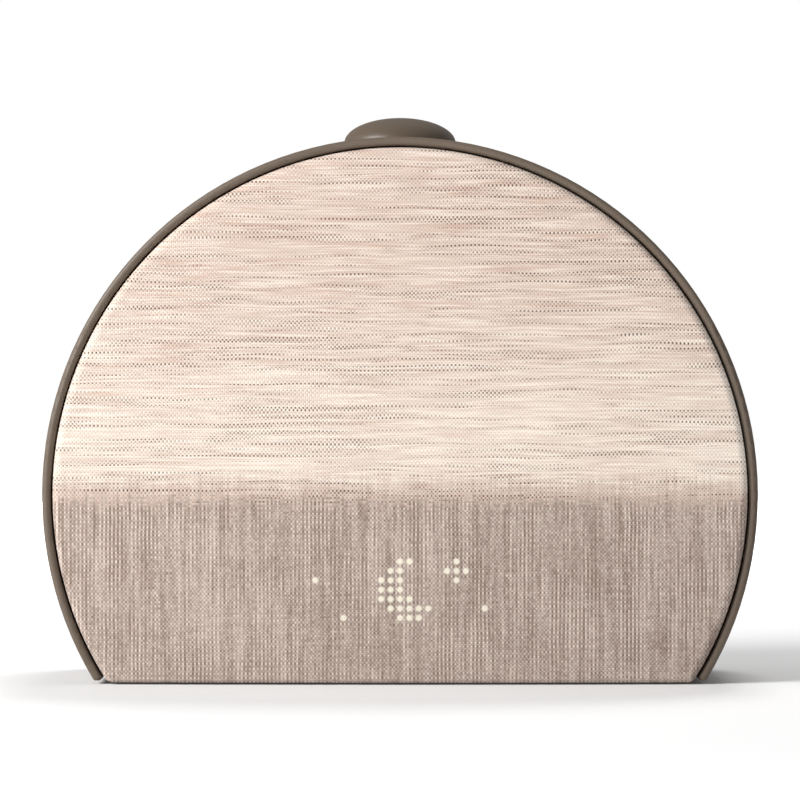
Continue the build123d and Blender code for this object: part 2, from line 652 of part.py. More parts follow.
# The sleeve: a full ring with a bullnose front rim, cut flat at the bottom, with the button pocket at
# the crown, a ledge for the carrier, and bosses for the screws of the cover and the base.
with BuildPart() as arch_shell:
    with BuildSketch(at_y(SEAM_Y)):
        with Locations((0, CENTRE_Z)):
            Circle(OUTER_RADIUS)
            Circle(INNER_RADIUS, mode=Mode.SUBTRACT)
    extrude(amount=SEAM_Y - RIM_Y)
    fillet(arch_shell.faces().sort_by(Axis.Y)[0].edges(), RIM_ROUND)
    split(bisect_by=Plane.XY.offset(BODY_BOTTOM_Z), keep=Keep.TOP)
    fillet(arch_shell.faces().filter_by(Axis.Z).edges().filter_by(Axis.Y), RIM_END_ROUND)
    extrude(band_sketch(at_y(LEDGE_BACK_Y), INNER_RADIUS + WALL / 2, INNER_RADIUS - LEDGE_WIDTH,
                        BASE_TOP_Z + FIT), amount=LEDGE_THICK)
    add(round_columns(facing_rear(CARRIER_BACK_Y), mirrored(front_points),
                      FRONT_SCREW_RADIUS + SCREW_CLEARANCE / 2, LEDGE_THICK), mode=Mode.SUBTRACT)
    extrude(post_sketch(at_y(POST_JOIN_Y), INNER_RADIUS + WALL / 2), amount=POST_JOIN_Y - POST_FRONT_Y)
    add(round_columns(at_y(POST_JOIN_Y), cover_points, COVER_SCREW_RADIUS, COVER_PILOT_DEPTH),
        mode=Mode.SUBTRACT)
    add(base_bosses.part)
    add(round_columns(Plane.XY.offset(BASE_TOP_Z), base_points, BASE_SCREW_RADIUS, BASE_BOSS_HEIGHT - WALL),
        mode=Mode.SUBTRACT)
    add(button_boss.part)
    add(round_columns(Plane.XY.offset(POCKET_FLOOR_Z), [(0, BUTTON_Y)], POCKET_RADIUS, DEPTH),
        mode=Mode.SUBTRACT)
    add(round_columns(Plane.XY.offset(POCKET_UNDER_Z), [(0, BUTTON_Y)], STEM_RADIUS + STEM_FIT, DEPTH),
        mode=Mode.SUBTRACT)
    with BuildSketch(Plane.XY.offset(BUTTON_BOARD_TOP_Z)):
        with Locations(*button_points):
            Circle(BUTTON_BOSS_RADIUS)
    extrude(until=Until.NEXT)
    add(round_columns(Plane.XY.offset(BUTTON_BOARD_TOP_Z), button_points, SMALL_SCREW_RADIUS,
                      BUTTON_SCREW_LENGTH), mode=Mode.SUBTRACT)
arch_shell.part.label = "arch_shell"
export_step(arch_shell.part, "parts/arch_shell.step")

# Screw posts of the rear cover, kept inside its rounded wall.
with BuildPart() as cover_posts:
    extrude(post_sketch(at_y(REAR_Y), TONGUE_RADIUS - TONGUE_WALL / 2), amount=REAR_Y - POST_JOIN_Y - FIT)
    add(cover_block(WALL / 2), mode=Mode.INTERSECT)

# The rear cover: a dish with a rounded back edge, a tongue that enters the sleeve, screw posts, and
# openings for the loudspeaker, the knobs, the alarm switch and the power socket.
with BuildPart() as back_cover:
    add(cover_block(0))
    add(cover_block(WALL), mode=Mode.SUBTRACT)
    split(bisect_by=facing_rear(COVER_FRONT_Y), keep=Keep.TOP)
    extrude(band_sketch(at_y(COVER_FRONT_Y + TONGUE_WALL), INNER_RADIUS + WALL / 2, TONGUE_RADIUS - TONGUE_WALL,
                        BASE_TOP_Z + FIT), amount=TONGUE_WALL)
    extrude(band_sketch(at_y(COVER_FRONT_Y + TONGUE_WALL), TONGUE_RADIUS, TONGUE_RADIUS - TONGUE_WALL,
                        BASE_TOP_Z + FIT), amount=TONGUE_WALL + TONGUE_LENGTH)
    add(cover_posts.part)
    add(round_columns(at_y(REAR_Y), cover_points, COVER_SCREW_RADIUS + SCREW_CLEARANCE, DEPTH),
        mode=Mode.SUBTRACT)
    add(round_columns(at_y(REAR_Y), cover_points, HEAD_RATIO * COVER_SCREW_RADIUS + SCREW_CLEARANCE,
                      REAR_Y - COVER_SCREW_HEAD_Y), mode=Mode.SUBTRACT)
    with BuildSketch(at_y(COVER_INSIDE_Y)):
        with Locations((0, DRIVER_Z)):
            Circle(GRILLE_RADIUS + FIT + TONGUE_WALL)
            Circle(GRILLE_RADIUS + FIT, mode=Mode.SUBTRACT)
    extrude(amount=2 * GRILLE_THICK)
    add(round_columns(at_y(REAR_Y), [(0, DRIVER_Z)], GRILLE_OPENING, WALL), mode=Mode.SUBTRACT)
    add(round_columns(at_y(COVER_INSIDE_Y + WALL / 2), knob_points, KNOB_RADIUS + KNOB_GAP + KNOB_WALL,
                      COVER_INSIDE_Y + WALL / 2 - KNOB_MOUNT_Y))
    add(round_columns(at_y(REAR_Y), knob_points, KNOB_RADIUS + KNOB_GAP, KNOB_RECESS), mode=Mode.SUBTRACT)
    add(round_columns(at_y(REAR_Y), knob_points, SHAFT_RADIUS + FIT, DEPTH), mode=Mode.SUBTRACT)
    add(slab(at_y(REAR_Y), (0, SLIDER_Z), SLOT_LENGTH, SLIDER_HEIGHT + 2 * FIT, WALL), mode=Mode.SUBTRACT)
    add(round_columns(at_y(REAR_Y), [(POWER_X, JACK_Z)], JACK_RADIUS + FIT, WALL), mode=Mode.SUBTRACT)
    chamfer(back_cover.faces().sort_by(Axis.Y)[-1].inner_wires().edges().filter_by(GeomType.CIRCLE),
            OPENING_CHAMFER)
back_cover.part.label = "back_cover"
export_step(back_cover.part, "parts/back_cover.step")

cover_screws = screw_set(facing_rear(COVER_SCREW_HEAD_Y), mirrored(cover_points), COVER_SCREW_RADIUS,
                         COVER_SCREW_LENGTH)
cover_screws.label = "cover_screws"
export_step(cover_screws, "parts/cover_screws.step")

# The base plate closes the sleeve from below and carries the speaker box and the power board.
with BuildPart() as base_plate:
    extrude(arch_sketch(at_y(SEAM_Y), INNER_RADIUS - FIT, BODY_BOTTOM_Z), amount=SEAM_Y - CARRIER_BACK_Y - FIT)
    split(bisect_by=Plane.XY.offset(BASE_TOP_Z), keep=Keep.BOTTOM)
    add(slab(Plane.XY.offset(BODY_BOTTOM_Z), (0, FOOT_Y), FOOT_LENGTH + 2 * FIT, FOOT_WIDTH + 2 * FIT,
             FOOT_RECESS, FOOT_CORNER + FIT), mode=Mode.SUBTRACT)
    add(round_columns(Plane.XY.offset(BASE_TOP_Z), power_points, STANDOFF_RADIUS,
                      POWER_BOARD_Z - BASE_TOP_Z))
    add(round_columns(Plane.XY.offset(POWER_BOARD_Z), power_points, SMALL_SCREW_RADIUS, -POWER_SCREW_LENGTH),
        mode=Mode.SUBTRACT)
    for points in (base_points, box_points):
        add(round_columns(Plane.XY, points, BASE_SCREW_RADIUS + SCREW_CLEARANCE, BASE_TOP_Z),
            mode=Mode.SUBTRACT)
        add(round_columns(Plane.XY, points, HEAD_RATIO * BASE_SCREW_RADIUS + SCREW_CLEARANCE, BASE_HEAD_Z),
            mode=Mode.SUBTRACT)
base_plate.part.label = "base_plate"
export_step(base_plate.part, "parts/base_plate.step")

# Eight equal screws: four into the sleeve and four into the feet of the speaker box.
base_screws = screw_set(facing_down(BASE_HEAD_Z), below(base_points + box_points), BASE_SCREW_RADIUS,
                        BASE_TOP_Z - BASE_HEAD_Z + BASE_SCREW_BITE)
base_screws.label = "base_screws"
export_step(base_screws, "parts/base_screws.step")

# Rubber foot in the recess of the base plate.
with BuildPart() as base_foot:
    add(slab(Plane.XY, (0, FOOT_Y), FOOT_LENGTH, FOOT_WIDTH, FOOT_PROUD + FOOT_RECESS, FOOT_CORNER))
    fillet(base_foot.faces().sort_by(Axis.Z)[0].edges(), FOOT_EDGE)
base_foot.part.label = "base_foot"
export_step(base_foot.part, "parts/base_foot.step")

# --- crown button -----------------------------------------------------------

# A pebble-shaped cap with a skirt and a round stem, turned about its own upright axis. Its very top is a
# flat of about 1 mm.
with BuildPart() as top_button:
    with BuildSketch(Plane.XZ.offset(-BUTTON_Y)):
        with BuildLine():
            dome = EllipticalCenterArc((0, BUTTON_EQUATOR_Z), BUTTON_RADIUS, BUTTON_DOME, 0,
                                       arc_size=DOME_SWEEP)
            Polyline(dome @ 1, (0, (dome @ 1).Y), (0, STEM_END_Z), (STEM_RADIUS, STEM_END_Z),
                     (STEM_RADIUS, BUTTON_BOTTOM_Z), (BUTTON_RADIUS, BUTTON_BOTTOM_Z), dome @ 0)
        make_face()
    revolve(axis=Axis((0, BUTTON_Y, 0), (0, 0, 1)))
    with BuildSketch(Plane.XY.offset(BUTTON_BOTTOM_Z)):
        with Locations((0, BUTTON_Y)):
            Circle(BUTTON_RADIUS - BUTTON_WALL)
            Circle(STEM_RADIUS + BUTTON_WALL, mode=Mode.SUBTRACT)
    extrude(amount=BUTTON_SKIRT, mode=Mode.SUBTRACT)
    with BuildSketch(Plane.XY.offset(POCKET_UNDER_Z)):
        with Locations((0, BUTTON_Y)):
            Circle(STEM_RADIUS)
            Circle(CLIP_BORE, mode=Mode.SUBTRACT)
    extrude(amount=-CLIP_THICK, mode=Mode.SUBTRACT)
top_button.part.label = "top_button"
export_step(top_button.part, "parts/top_button.step")

# Spring clip in the groove of the stem: it stops the button at the top of its travel.
with BuildPart() as button_clip:
    with BuildSketch(Plane.XY.offset(POCKET_UNDER_Z)):
        with Locations((0, BUTTON_Y)):
            Circle(CLIP_RADIUS)
            Circle(CLIP_BORE, mode=Mode.SUBTRACT)
    extrude(amount=-CLIP_THICK)
button_clip.part.label = "button_clip"
export_step(button_clip.part, "parts/button_clip.step")

# Hollow silicone dome that lifts the button and closes its contact when it is pressed flat.
with BuildPart() as button_dome:
    with BuildSketch(Plane.XZ.offset(-BUTTON_Y)):
        with BuildLine():
            Polyline((0, STEM_END_Z), (STEM_RADIUS, STEM_END_Z), (2 * STEM_RADIUS, BUTTON_BOARD_TOP_Z),
                     (2 * STEM_RADIUS - DOME_WALL, BUTTON_BOARD_TOP_Z),
                     (STEM_RADIUS - DOME_WALL / 2, STEM_END_Z - DOME_WALL), (0, STEM_END_Z - DOME_WALL),
                     close=True)
        make_face()
    revolve(axis=Axis((0, BUTTON_Y, 0), (0, 0, 1)))
button_dome.part.label = "button_dome"
export_step(button_dome.part, "parts/button_dome.step")

with BuildPart() as button_board:
    with BuildSketch(Plane.XY.offset(BUTTON_BOARD_TOP_Z)):
        with Locations((0, BUTTON_Y)):
            Rectangle(BUTTON_BOARD_LENGTH, BUTTON_BOARD_WIDTH)
        with Locations(*button_points):
            Circle(SMALL_SCREW_RADIUS + SCREW_CLEARANCE / 2, mode=Mode.SUBTRACT)
    extrude(amount=-BOARD_THICK)
button_board.part.label = "button_board"
export_step(button_board.part, "parts/button_board.step")

button_screws = screw_set(facing_down(BUTTON_BOARD_TOP_Z - BOARD_THICK), below(button_points),
                          SMALL_SCREW_RADIUS, BOARD_THICK + BUTTON_SCREW_LENGTH)
button_screws.label = "button_screws"
export_step(button_screws, "parts/button_screws.step")

# --- speaker box ------------------------------------------------------------

# Closed box that gives the loudspeaker its air volume: a tub with feet, board standoffs at the front
# and screw bosses in the corners.
with BuildPart() as speaker_box:
    add(slab(at_y(BOX_BACK_Y), (0, DRIVER_Z), 2 * BOX_HALF_WIDTH, BOX_HEIGHT, BOX_BACK_Y - BOX_FRONT_Y,
             BOX_CORNER))
    add(slab(at_y(BOX_BACK_Y), (0, DRIVER_Z), 2 * (BOX_HALF_WIDTH - BOX_WALL), BOX_HEIGHT - 2 * BOX_WALL,
             BOX_BACK_Y - BOX_FRONT_Y - BOX_WALL, BOX_CORNER - BOX_WALL), mode=Mode.SUBTRACT)
    add(round_columns(at_y(BOX_BACK_Y), baffle_points, BAFFLE_BOSS_RADIUS,
                      BOX_BACK_Y - BOX_FRONT_Y - BOX_WALL / 2))
    add(round_columns(at_y(BOX_BACK_Y), baffle_points, BASE_SCREW_RADIUS, BAFFLE_SCREW_LENGTH),
        mode=Mode.SUBTRACT)
    add(round_columns(at_y(BOX_FRONT_Y + BOX_WALL / 2), standoff_points, STANDOFF_RADIUS,
                      MAIN_BOARD_GAP + BOX_WALL / 2))
    add(round_columns(at_y(MAIN_BOARD_Y), standoff_points, SMALL_SCREW_RADIUS, -MAIN_BOARD_GAP),
        mode=Mode.SUBTRACT)
    add(round_columns(Plane.XY.offset(BASE_TOP_Z), box_points, BOX_FOOT_RADIUS, BOX_FOOT_BOSS))
    add(round_columns(Plane.XY.offset(BASE_TOP_Z), box_points, BASE_SCREW_RADIUS, BOX_FOOT_BOSS - BOX_WALL),
        mode=Mode.SUBTRACT)
    add(round_columns(at_y(BOX_FRONT_Y + BOX_WALL), wire_points, WIRE_RADIUS, BOX_WALL), mode=Mode.SUBTRACT)
speaker_box.part.label = "speaker_box"
export_step(speaker_box.part, "parts/speaker_box.step")

with BuildPart() as speaker_baffle:
    add(slab(facing_rear(BOX_BACK_Y), (0, DRIVER_Z), 2 * BOX_HALF_WIDTH, BOX_HEIGHT, BAFFLE_THICK, BOX_CORNER))
    add(round_columns(facing_rear(BOX_BACK_Y), [(0, DRIVER_Z)], BAFFLE_HOLE, BAFFLE_THICK),
        mode=Mode.SUBTRACT)
    add(round_columns(facing_rear(BOX_BACK_Y), driver_points, SMALL_SCREW_RADIUS, BAFFLE_THICK),
        mode=Mode.SUBTRACT)
    add(round_columns(facing_rear(BOX_BACK_Y), baffle_points, BASE_SCREW_RADIUS + SCREW_CLEARANCE / 2,
                      BAFFLE_THICK), mode=Mode.SUBTRACT)
speaker_baffle.part.label = "speaker_baffle"
export_step(speaker_baffle.part, "parts/speaker_baffle.step")

baffle_screws = screw_set(facing_rear(BAFFLE_BACK_Y), baffle_points, BASE_SCREW_RADIUS,
                          BAFFLE_THICK + BAFFLE_SCREW_LENGTH - FIT)
baffle_screws.label = "baffle_screws"
export_step(baffle_screws, "parts/baffle_screws.step")

# --- loudspeaker ------------------------------------------------------------

DRIVER_PLANE = Plane(origin=(0, 0, DRIVER_Z), x_dir=(0, 1, 0), z_dir=(1, 0, 0))
DRIVER_AXIS = Axis((0, 0, DRIVER_Z), (0, 1, 0))


def turned(points):
    """A ring turned about the loudspeaker's axis from a closed outline of (y, radius) points."""
    with BuildPart() as ring:
        with BuildSketch(DRIVER_PLANE):
            with BuildLine():
                Polyline(*points, close=True)
            make_face()
        revolve(axis=DRIVER_AXIS)
    return ring.part


SEAT_Y = FLANGE_FRONT_Y - BASKET_LENGTH - BASKET_WALL
PLATE_Y = SEAT_Y - PLATE_THICK
MAGNET_Y = PLATE_Y - MAGNET_THICK
YOKE_Y = MAGNET_Y - YOKE_THICK
COIL_OUTER = COIL_RADIUS + COIL_WALL
CONE_BACK_Y = FLANGE_Y - CONE_DEPTH - 2 * CONE_WALL
COIL_FRONT_Y = CONE_BACK_Y + CONE_WALL
FLANGE_BORE = BASKET_RADIUS - BASKET_WALL


def basket_radius(y):
    """Inside radius of the basket's cone at depth y."""
    share = (y - SEAT_Y - BASKET_WALL) / (FLANGE_Y - SEAT_Y - BASKET_WALL)
    return BASKET_SEAT_RADIUS - BASKET_WALL + share * (FLANGE_BORE - BASKET_SEAT_RADIUS + BASKET_WALL)


with BuildPart() as driver_gasket:
    with BuildSketch(facing_rear(BAFFLE_BACK_Y)):
        with Locations((0, DRIVER_Z)):
            Circle(FLANGE_RADIUS)
            Circle(BAFFLE_HOLE, mode=Mode.SUBTRACT)
        with Locations(*driver_points):
            Circle(SMALL_SCREW_RADIUS + SCREW_CLEARANCE / 2, mode=Mode.SUBTRACT)
    extrude(amount=GASKET_THICK)
driver_gasket.part.label = "driver_gasket"
export_step(driver_gasket.part, "parts/driver_gasket.step")

with BuildPart() as driver_basket:
    add(turned([(FLANGE_Y, FLANGE_RADIUS), (FLANGE_Y, FLANGE_BORE),
                (SEAT_Y + BASKET_WALL, BASKET_SEAT_RADIUS - BASKET_WALL), (SEAT_Y + BASKET_WALL, MAGNET_BORE),
                (SEAT_Y, MAGNET_BORE), (SEAT_Y, BASKET_SEAT_RADIUS), (FLANGE_FRONT_Y, BASKET_RADIUS),
                (FLANGE_FRONT_Y, FLANGE_RADIUS)]))
    with BuildSketch(facing_rear(SPIDER_Y + 2 * SPIDER_THICK)):
        with Locations((0, DRIVER_Z)):
            with PolarLocations(0, BASKET_WINDOWS, start_angle=45):
                with Locations((BASKET_RADIUS, 0)):
                    Rectangle(BASKET_RADIUS + BASKET_SEAT_RADIUS, BASKET_WINDOW_WIDTH)
    extrude(amount=FLANGE_FRONT_Y - FLANGE_THICK - SPIDER_Y - 2 * SPIDER_THICK, mode=Mode.SUBTRACT)
    add(round_columns(facing_rear(FLANGE_FRONT_Y), driver_points, SMALL_SCREW_RADIUS + SCREW_CLEARANCE / 2,
                      FLANGE_THICK), mode=Mode.SUBTRACT)
driver_basket.part.label = "driver_basket"
export_step(driver_basket.part, "parts/driver_basket.step")

driver_screws = screw_set(facing_rear(FLANGE_Y), driver_points, SMALL_SCREW_RADIUS,
                          FLANGE_THICK + GASKET_THICK + BAFFLE_THICK)
driver_screws.label = "driver_screws"
export_step(driver_screws, "parts/driver_screws.step")

driver_top_plate = turned([(PLATE_Y, PLATE_BORE), (SEAT_Y, PLATE_BORE), (SEAT_Y, BASKET_SEAT_RADIUS),
                           (PLATE_Y, BASKET_SEAT_RADIUS)])
driver_top_plate.label = "driver_top_plate"
export_step(driver_top_plate, "parts/driver_top_plate.step")

driver_magnet = turned([(MAGNET_Y, MAGNET_BORE), (PLATE_Y, MAGNET_BORE), (PLATE_Y, MAGNET_RADIUS),
                        (MAGNET_Y, MAGNET_RADIUS)])
driver_magnet.label = "driver_magnet"
export_step(driver_magnet, "parts/driver_magnet.step")

driver_yoke = turned([(YOKE_Y, 0), (SEAT_Y, 0), (SEAT_Y, POLE_RADIUS), (MAGNET_Y, POLE_RADIUS),
                      (MAGNET_Y, YOKE_RADIUS), (YOKE_Y, YOKE_RADIUS)])
driver_yoke.label = "driver_yoke"
export_step(driver_yoke, "parts/driver_yoke.step")

voice_coil = turned([(COIL_FRONT_Y - COIL_LENGTH, COIL_RADIUS), (COIL_FRONT_Y, COIL_RADIUS),
                     (COIL_FRONT_Y, COIL_OUTER), (COIL_FRONT_Y - COIL_LENGTH, COIL_OUTER)])
voice_coil.label = "voice_coil"
export_step(voice_coil, "parts/voice_coil.step")

driver_cone = turned([(CONE_BACK_Y, COIL_OUTER), (FLANGE_Y - 2 * CONE_WALL, CONE_RADIUS),
                      (FLANGE_Y, CONE_RADIUS), (CONE_BACK_Y + 2 * CONE_WALL, COIL_OUTER)])
driver_cone.label = "driver_cone"
export_step(driver_cone, "parts/driver_cone.step")

# Domed cap on the front end of the voice coil.
with BuildPart() as driver_dust_cap:
    with Locations((0, COIL_FRONT_Y + DUST_CAP_RISE - DUST_CAP_RADIUS, DRIVER_Z)):
        Sphere(DUST_CAP_RADIUS)
        Sphere(DUST_CAP_RADIUS - CONE_WALL, mode=Mode.SUBTRACT)
    split(bisect_by=facing_rear(COIL_FRONT_Y), keep=Keep.TOP)
driver_dust_cap.part.label = "driver_dust_cap"
export_step(driver_dust_cap.part, "parts/driver_dust_cap.step")

driver_spider = turned([(SPIDER_Y, COIL_OUTER + SHAFT_FIT), (SPIDER_Y + SPIDER_THICK, COIL_OUTER + SHAFT_FIT),
                        (SPIDER_Y + SPIDER_THICK, basket_radius(SPIDER_Y + SPIDER_THICK)),
                        (SPIDER_Y, basket_radius(SPIDER_Y))])
driver_spider.label = "driver_spider"
export_step(driver_spider, "parts/driver_spider.step")

# Rubber half roll between the edge of the cone and the flange.
with BuildPart() as driver_surround:
    with BuildSketch(DRIVER_PLANE):
        with Locations((FLANGE_Y, (CONE_RADIUS + FLANGE_BORE) / 2)):
            Circle(SURROUND_OUTER)
            Circle(SURROUND_OUTER - SURROUND_THICK, mode=Mode.SUBTRACT)
        with Locations((FLANGE_Y, 0)):
            Rectangle(DEPTH, DEPTH, align=(Align.MIN, Align.CENTER), mode=Mode.INTERSECT)
    revolve(axis=DRIVER_AXIS)
driver_surround.part.label = "driver_surround"
export_step(driver_surround.part, "parts/driver_surround.step")

# Perforated steel disc behind the opening of the rear cover.
with BuildPart() as rear_grille:
    with BuildSketch(at_y(COVER_INSIDE_Y)):
        with Locations((0, DRIVER_Z)):
            Circle(GRILLE_RADIUS)
            Circle(GRILLE_HOLE, mode=Mode.SUBTRACT)
            for ring in range(1, GRILLE_RINGS + 1):
                with PolarLocations(ring * GRILLE_PITCH, 6 * ring):
                    Circle(GRILLE_HOLE, mode=Mode.SUBTRACT)
    extrude(amount=GRILLE_THICK)
rear_grille.part.label = "rear_grille"
export_step(rear_grille.part, "parts/rear_grille.step")

# --- rear controls ----------------------------------------------------------

for name, (knob_x, knob_z) in zip(("volume", "brightness"), knob_points):
    # Knurled knob, flush with the rear face, pressed on its shaft.
    with BuildPart() as knob:
        with BuildSketch(at_y(REAR_Y)):
            with Locations((knob_x, knob_z)):
                Circle(KNOB_RADIUS)
                with PolarLocations(KNOB_RADIUS, KNOB_FLUTES):
                    Circle(FLUTE_RADIUS, mode=Mode.SUBTRACT)
        extrude(amount=KNOB_LENGTH)
        with BuildSketch(at_y(REAR_Y - KNOB_CAP)):
            with Locations((knob_x, knob_z)):
                Circle(SHAFT_RADIUS)
        extrude(amount=DEPTH, mode=Mode.SUBTRACT)
    knob.part.label = f"{name}_knob"
    export_step(knob.part, f"parts/{name}_knob.step")

    shaft = round_columns(at_y(REAR_Y - KNOB_CAP), [(knob_x, knob_z)], SHAFT_RADIUS,
                          REAR_Y - KNOB_CAP - KNOB_MOUNT_Y + SHAFT_DEPTH - FIT)
    shaft.label = f"{name}_shaft"
    export_step(shaft, f"parts/{name}_shaft.step")

    # Rotary encoder against the floor of the recess, with a bore for the shaft.
    with BuildPart() as encoder:
        with BuildSketch(at_y(KNOB_MOUNT_Y)):
            with Locations((knob_x, knob_z)):
                Rectangle(ENCODER_SIDE, ENCODER_SIDE)
        extrude(amount=ENCODER_DEPTH)
        with BuildSketch(at_y(KNOB_MOUNT_Y)):
            with Locations((knob_x, knob_z)):
                Circle(SHAFT_RADIUS + SHAFT_FIT)
        extrude(amount=SHAFT_DEPTH, mode=Mode.SUBTRACT)
    encoder.part.label = f"{name}_encoder"
    export_step(encoder.part, f"parts/{name}_encoder.step")

SLIDER_BACK_Y = COVER_INSIDE_Y - FIT
SLIDER_CENTRE = (-SLIDER_TRAVEL / 2, SLIDER_Z)

# Alarm slider: a thumb nub in the slot, on a plate that keeps the slot covered.
with BuildPart() as alarm_slider:
    add(slab(at_y(SLIDER_BACK_Y), SLIDER_CENTRE, SLOT_LENGTH + SLIDER_TRAVEL, SLIDER_PLATE, SLIDER_THICK))
    add(slab(at_y(REAR_Y - FIT), SLIDER_CENTRE, SLIDER_LENGTH, SLIDER_HEIGHT, REAR_Y - FIT - SLIDER_BACK_Y))
alarm_slider.part.label = "alarm_slider"
export_step(alarm_slider.part, "parts/alarm_slider.step")

with BuildPart() as alarm_switch:
    add(slab(at_y(COVER_INSIDE_Y), (0, SLIDER_Z), SWITCH_LENGTH, SLIDER_PLATE + 2 * BOX_WALL,
             SWITCH_DEPTH + SLIDER_THICK + 2 * FIT))
    add(slab(at_y(COVER_INSIDE_Y), (0, SLIDER_Z), SWITCH_LENGTH, SLIDER_PLATE + 2 * FIT,
             SLIDER_THICK + 2 * FIT), mode=Mode.SUBTRACT)
alarm_switch.part.label = "alarm_switch"
export_step(alarm_switch.part, "parts/alarm_switch.step")

# --- electronics ------------------------------------------------------------

with BuildPart() as main_board:
    with BuildSketch(at_y(MAIN_BOARD_Y)):
        with Locations((0, MAIN_BOARD_Z)):
            Rectangle(MAIN_BOARD_LENGTH, MAIN_BOARD_HEIGHT)
        with Locations(*standoff_points):
            Circle(SMALL_SCREW_RADIUS + SCREW_CLEARANCE / 2, mode=Mode.SUBTRACT)
    extrude(amount=BOARD_THICK)
main_board.part.label = "main_board"
export_step(main_board.part, "parts/main_board.step")

main_board_screws = screw_set(at_y(MAIN_BOARD_FRONT_Y), standoff_points, SMALL_SCREW_RADIUS,
                              BOARD_THICK + MAIN_BOARD_GAP - WALL)
main_board_screws.label = "main_board_screws"
export_step(main_board_screws, "parts/main_board_screws.step")

# Name, place on the board, length, height and thickness of each flat part on its front.
for name, place, length, height, thick in (
    ("processor_chip", (0, MAIN_BOARD_Z + PROCESSOR_ABOVE), PROCESSOR_SIDE, PROCESSOR_SIDE, CHIP_THICK),
    ("radio_module", (RADIO_X, MAIN_BOARD_Z + RADIO_ABOVE), RADIO_LENGTH, RADIO_HEIGHT, RADIO_THICK),
    ("amplifier_chip", (AMPLIFIER_X, MAIN_BOARD_Z - AMPLIFIER_BELOW), AMPLIFIER_SIDE, AMPLIFIER_SIDE,
     CHIP_THICK),
):
    chip = slab(at_y(MAIN_BOARD_FRONT_Y), place, length, height, thick)
    chip.label = name
    export_step(chip, f"parts/{name}.step")

capacitors = round_columns(at_y(MAIN_BOARD_FRONT_Y),
                           [(x, MAIN_BOARD_Z - CAPACITOR_BELOW) for x in CAPACITOR_XS],
                           CAPACITOR_RADIUS, CAPACITOR_LENGTH)
capacitors.label = "capacitors"
export_step(capacitors, "parts/capacitors.step")

# Flat cable from the display to the main board, along the bottom of the housing.
display_ribbon = slab(at_y(MAIN_BOARD_FRONT_Y), (RIBBON_X, DISPLAY_Z), RIBBON_WIDTH, RIBBON_THICK,
                      MAIN_BOARD_FRONT_Y - DISPLAY_BOARD_Y - BOARD_THICK)
display_ribbon.label = "display_ribbon"
export_step(display_ribbon, "parts/display_ribbon.step")

CONNECTOR_Z = MAIN_BOARD_Z + MAIN_BOARD_HEIGHT / 2 - CONNECTOR_DEPTH

# Flat cable from the button board straight down to a connector on the back of the main board.
with BuildPart() as button_ribbon:
    add(slab(at_y(MAIN_BOARD_Y + CONNECTOR_DEPTH), (0, CONNECTOR_Z), RIBBON_WIDTH, CONNECTOR_DEPTH,
             CONNECTOR_DEPTH))
    with BuildSketch(Plane.XY.offset(CONNECTOR_Z)):
        with Locations((0, MAIN_BOARD_Y + CONNECTOR_DEPTH)):
            Rectangle(RIBBON_WIDTH - RIBBON_THICK, RIBBON_THICK)
    extrude(amount=BUTTON_BOARD_TOP_Z - BOARD_THICK - CONNECTOR_Z)
button_ribbon.part.label = "button_ribbon"
export_step(button_ribbon.part, "parts/button_ribbon.step")

# Flat cables from both encoders, and one over the speaker box from the alarm switch.
ENCODER_CABLE_X = MAIN_BOARD_LENGTH / 2 - CABLE_GAP
ALARM_CABLE_Z = SLIDER_Z - SLIDER_PLATE / 2
ALARM_CABLE_Y = BOX_FRONT_Y - CABLE_GAP
ENCODER_FRONT_Y = KNOB_MOUNT_Y - ENCODER_DEPTH
SWITCH_FRONT_Y = COVER_INSIDE_Y - SWITCH_DEPTH - SLIDER_THICK - 2 * FIT
with BuildPart() as control_ribbons:
    with BuildSketch(at_y(ENCODER_FRONT_Y)):
        with Locations((-ENCODER_CABLE_X, CONNECTOR_Z), (ENCODER_CABLE_X, CONNECTOR_Z)):
            Rectangle(RIBBON_THICK, CONNECTOR_DEPTH)
    extrude(amount=ENCODER_FRONT_Y - MAIN_BOARD_Y)
    with BuildSketch(Plane.YZ.offset(RIBBON_WIDTH / 2 + CABLE_GAP / 2)):
        with BuildLine():
            route = Polyline((SWITCH_FRONT_Y, ALARM_CABLE_Z), (ALARM_CABLE_Y, ALARM_CABLE_Z),
                             (ALARM_CABLE_Y, CONNECTOR_Z), (MAIN_BOARD_Y, CONNECTOR_Z))
            offset(route, RIBBON_THICK, side=Side.LEFT)
        make_face()
    extrude(amount=RIBBON_WIDTH)
control_ribbons.part.label = "control_ribbons"
export_step(control_ribbons.part, "parts/control_ribbons.step")

speaker_wires = round_columns(at_y(SPEAKER_WIRE_BACK_Y), wire_points, WIRE_RADIUS,
                              SPEAKER_WIRE_BACK_Y - MAIN_BOARD_Y)
speaker_wires.label = "speaker_wires"
export_step(speaker_wires, "parts/speaker_wires.step")

with BuildPart() as power_board:
    with BuildSketch(Plane.XY.offset(POWER_BOARD_Z)):
        with Locations((POWER_X, (POWER_BOARD_FRONT_Y + POWER_BOARD_BACK_Y) / 2)):
            Rectangle(POWER_BOARD_WIDTH, POWER_BOARD_BACK_Y - POWER_BOARD_FRONT_Y)
        with Locations(*power_points):
            Circle(SMALL_SCREW_RADIUS + SCREW_CLEARANCE / 2, mode=Mode.SUBTRACT)
    extrude(amount=BOARD_THICK)
power_board.part.label = "power_board"
export_step(power_board.part, "parts/power_board.step")

power_screws = screw_set(Plane.XY.offset(POWER_BOARD_Z + BOARD_THICK), power_points, SMALL_SCREW_RADIUS,
                         BOARD_THICK + POWER_SCREW_LENGTH)
power_screws.label = "power_screws"
export_step(power_screws, "parts/power_screws.step")

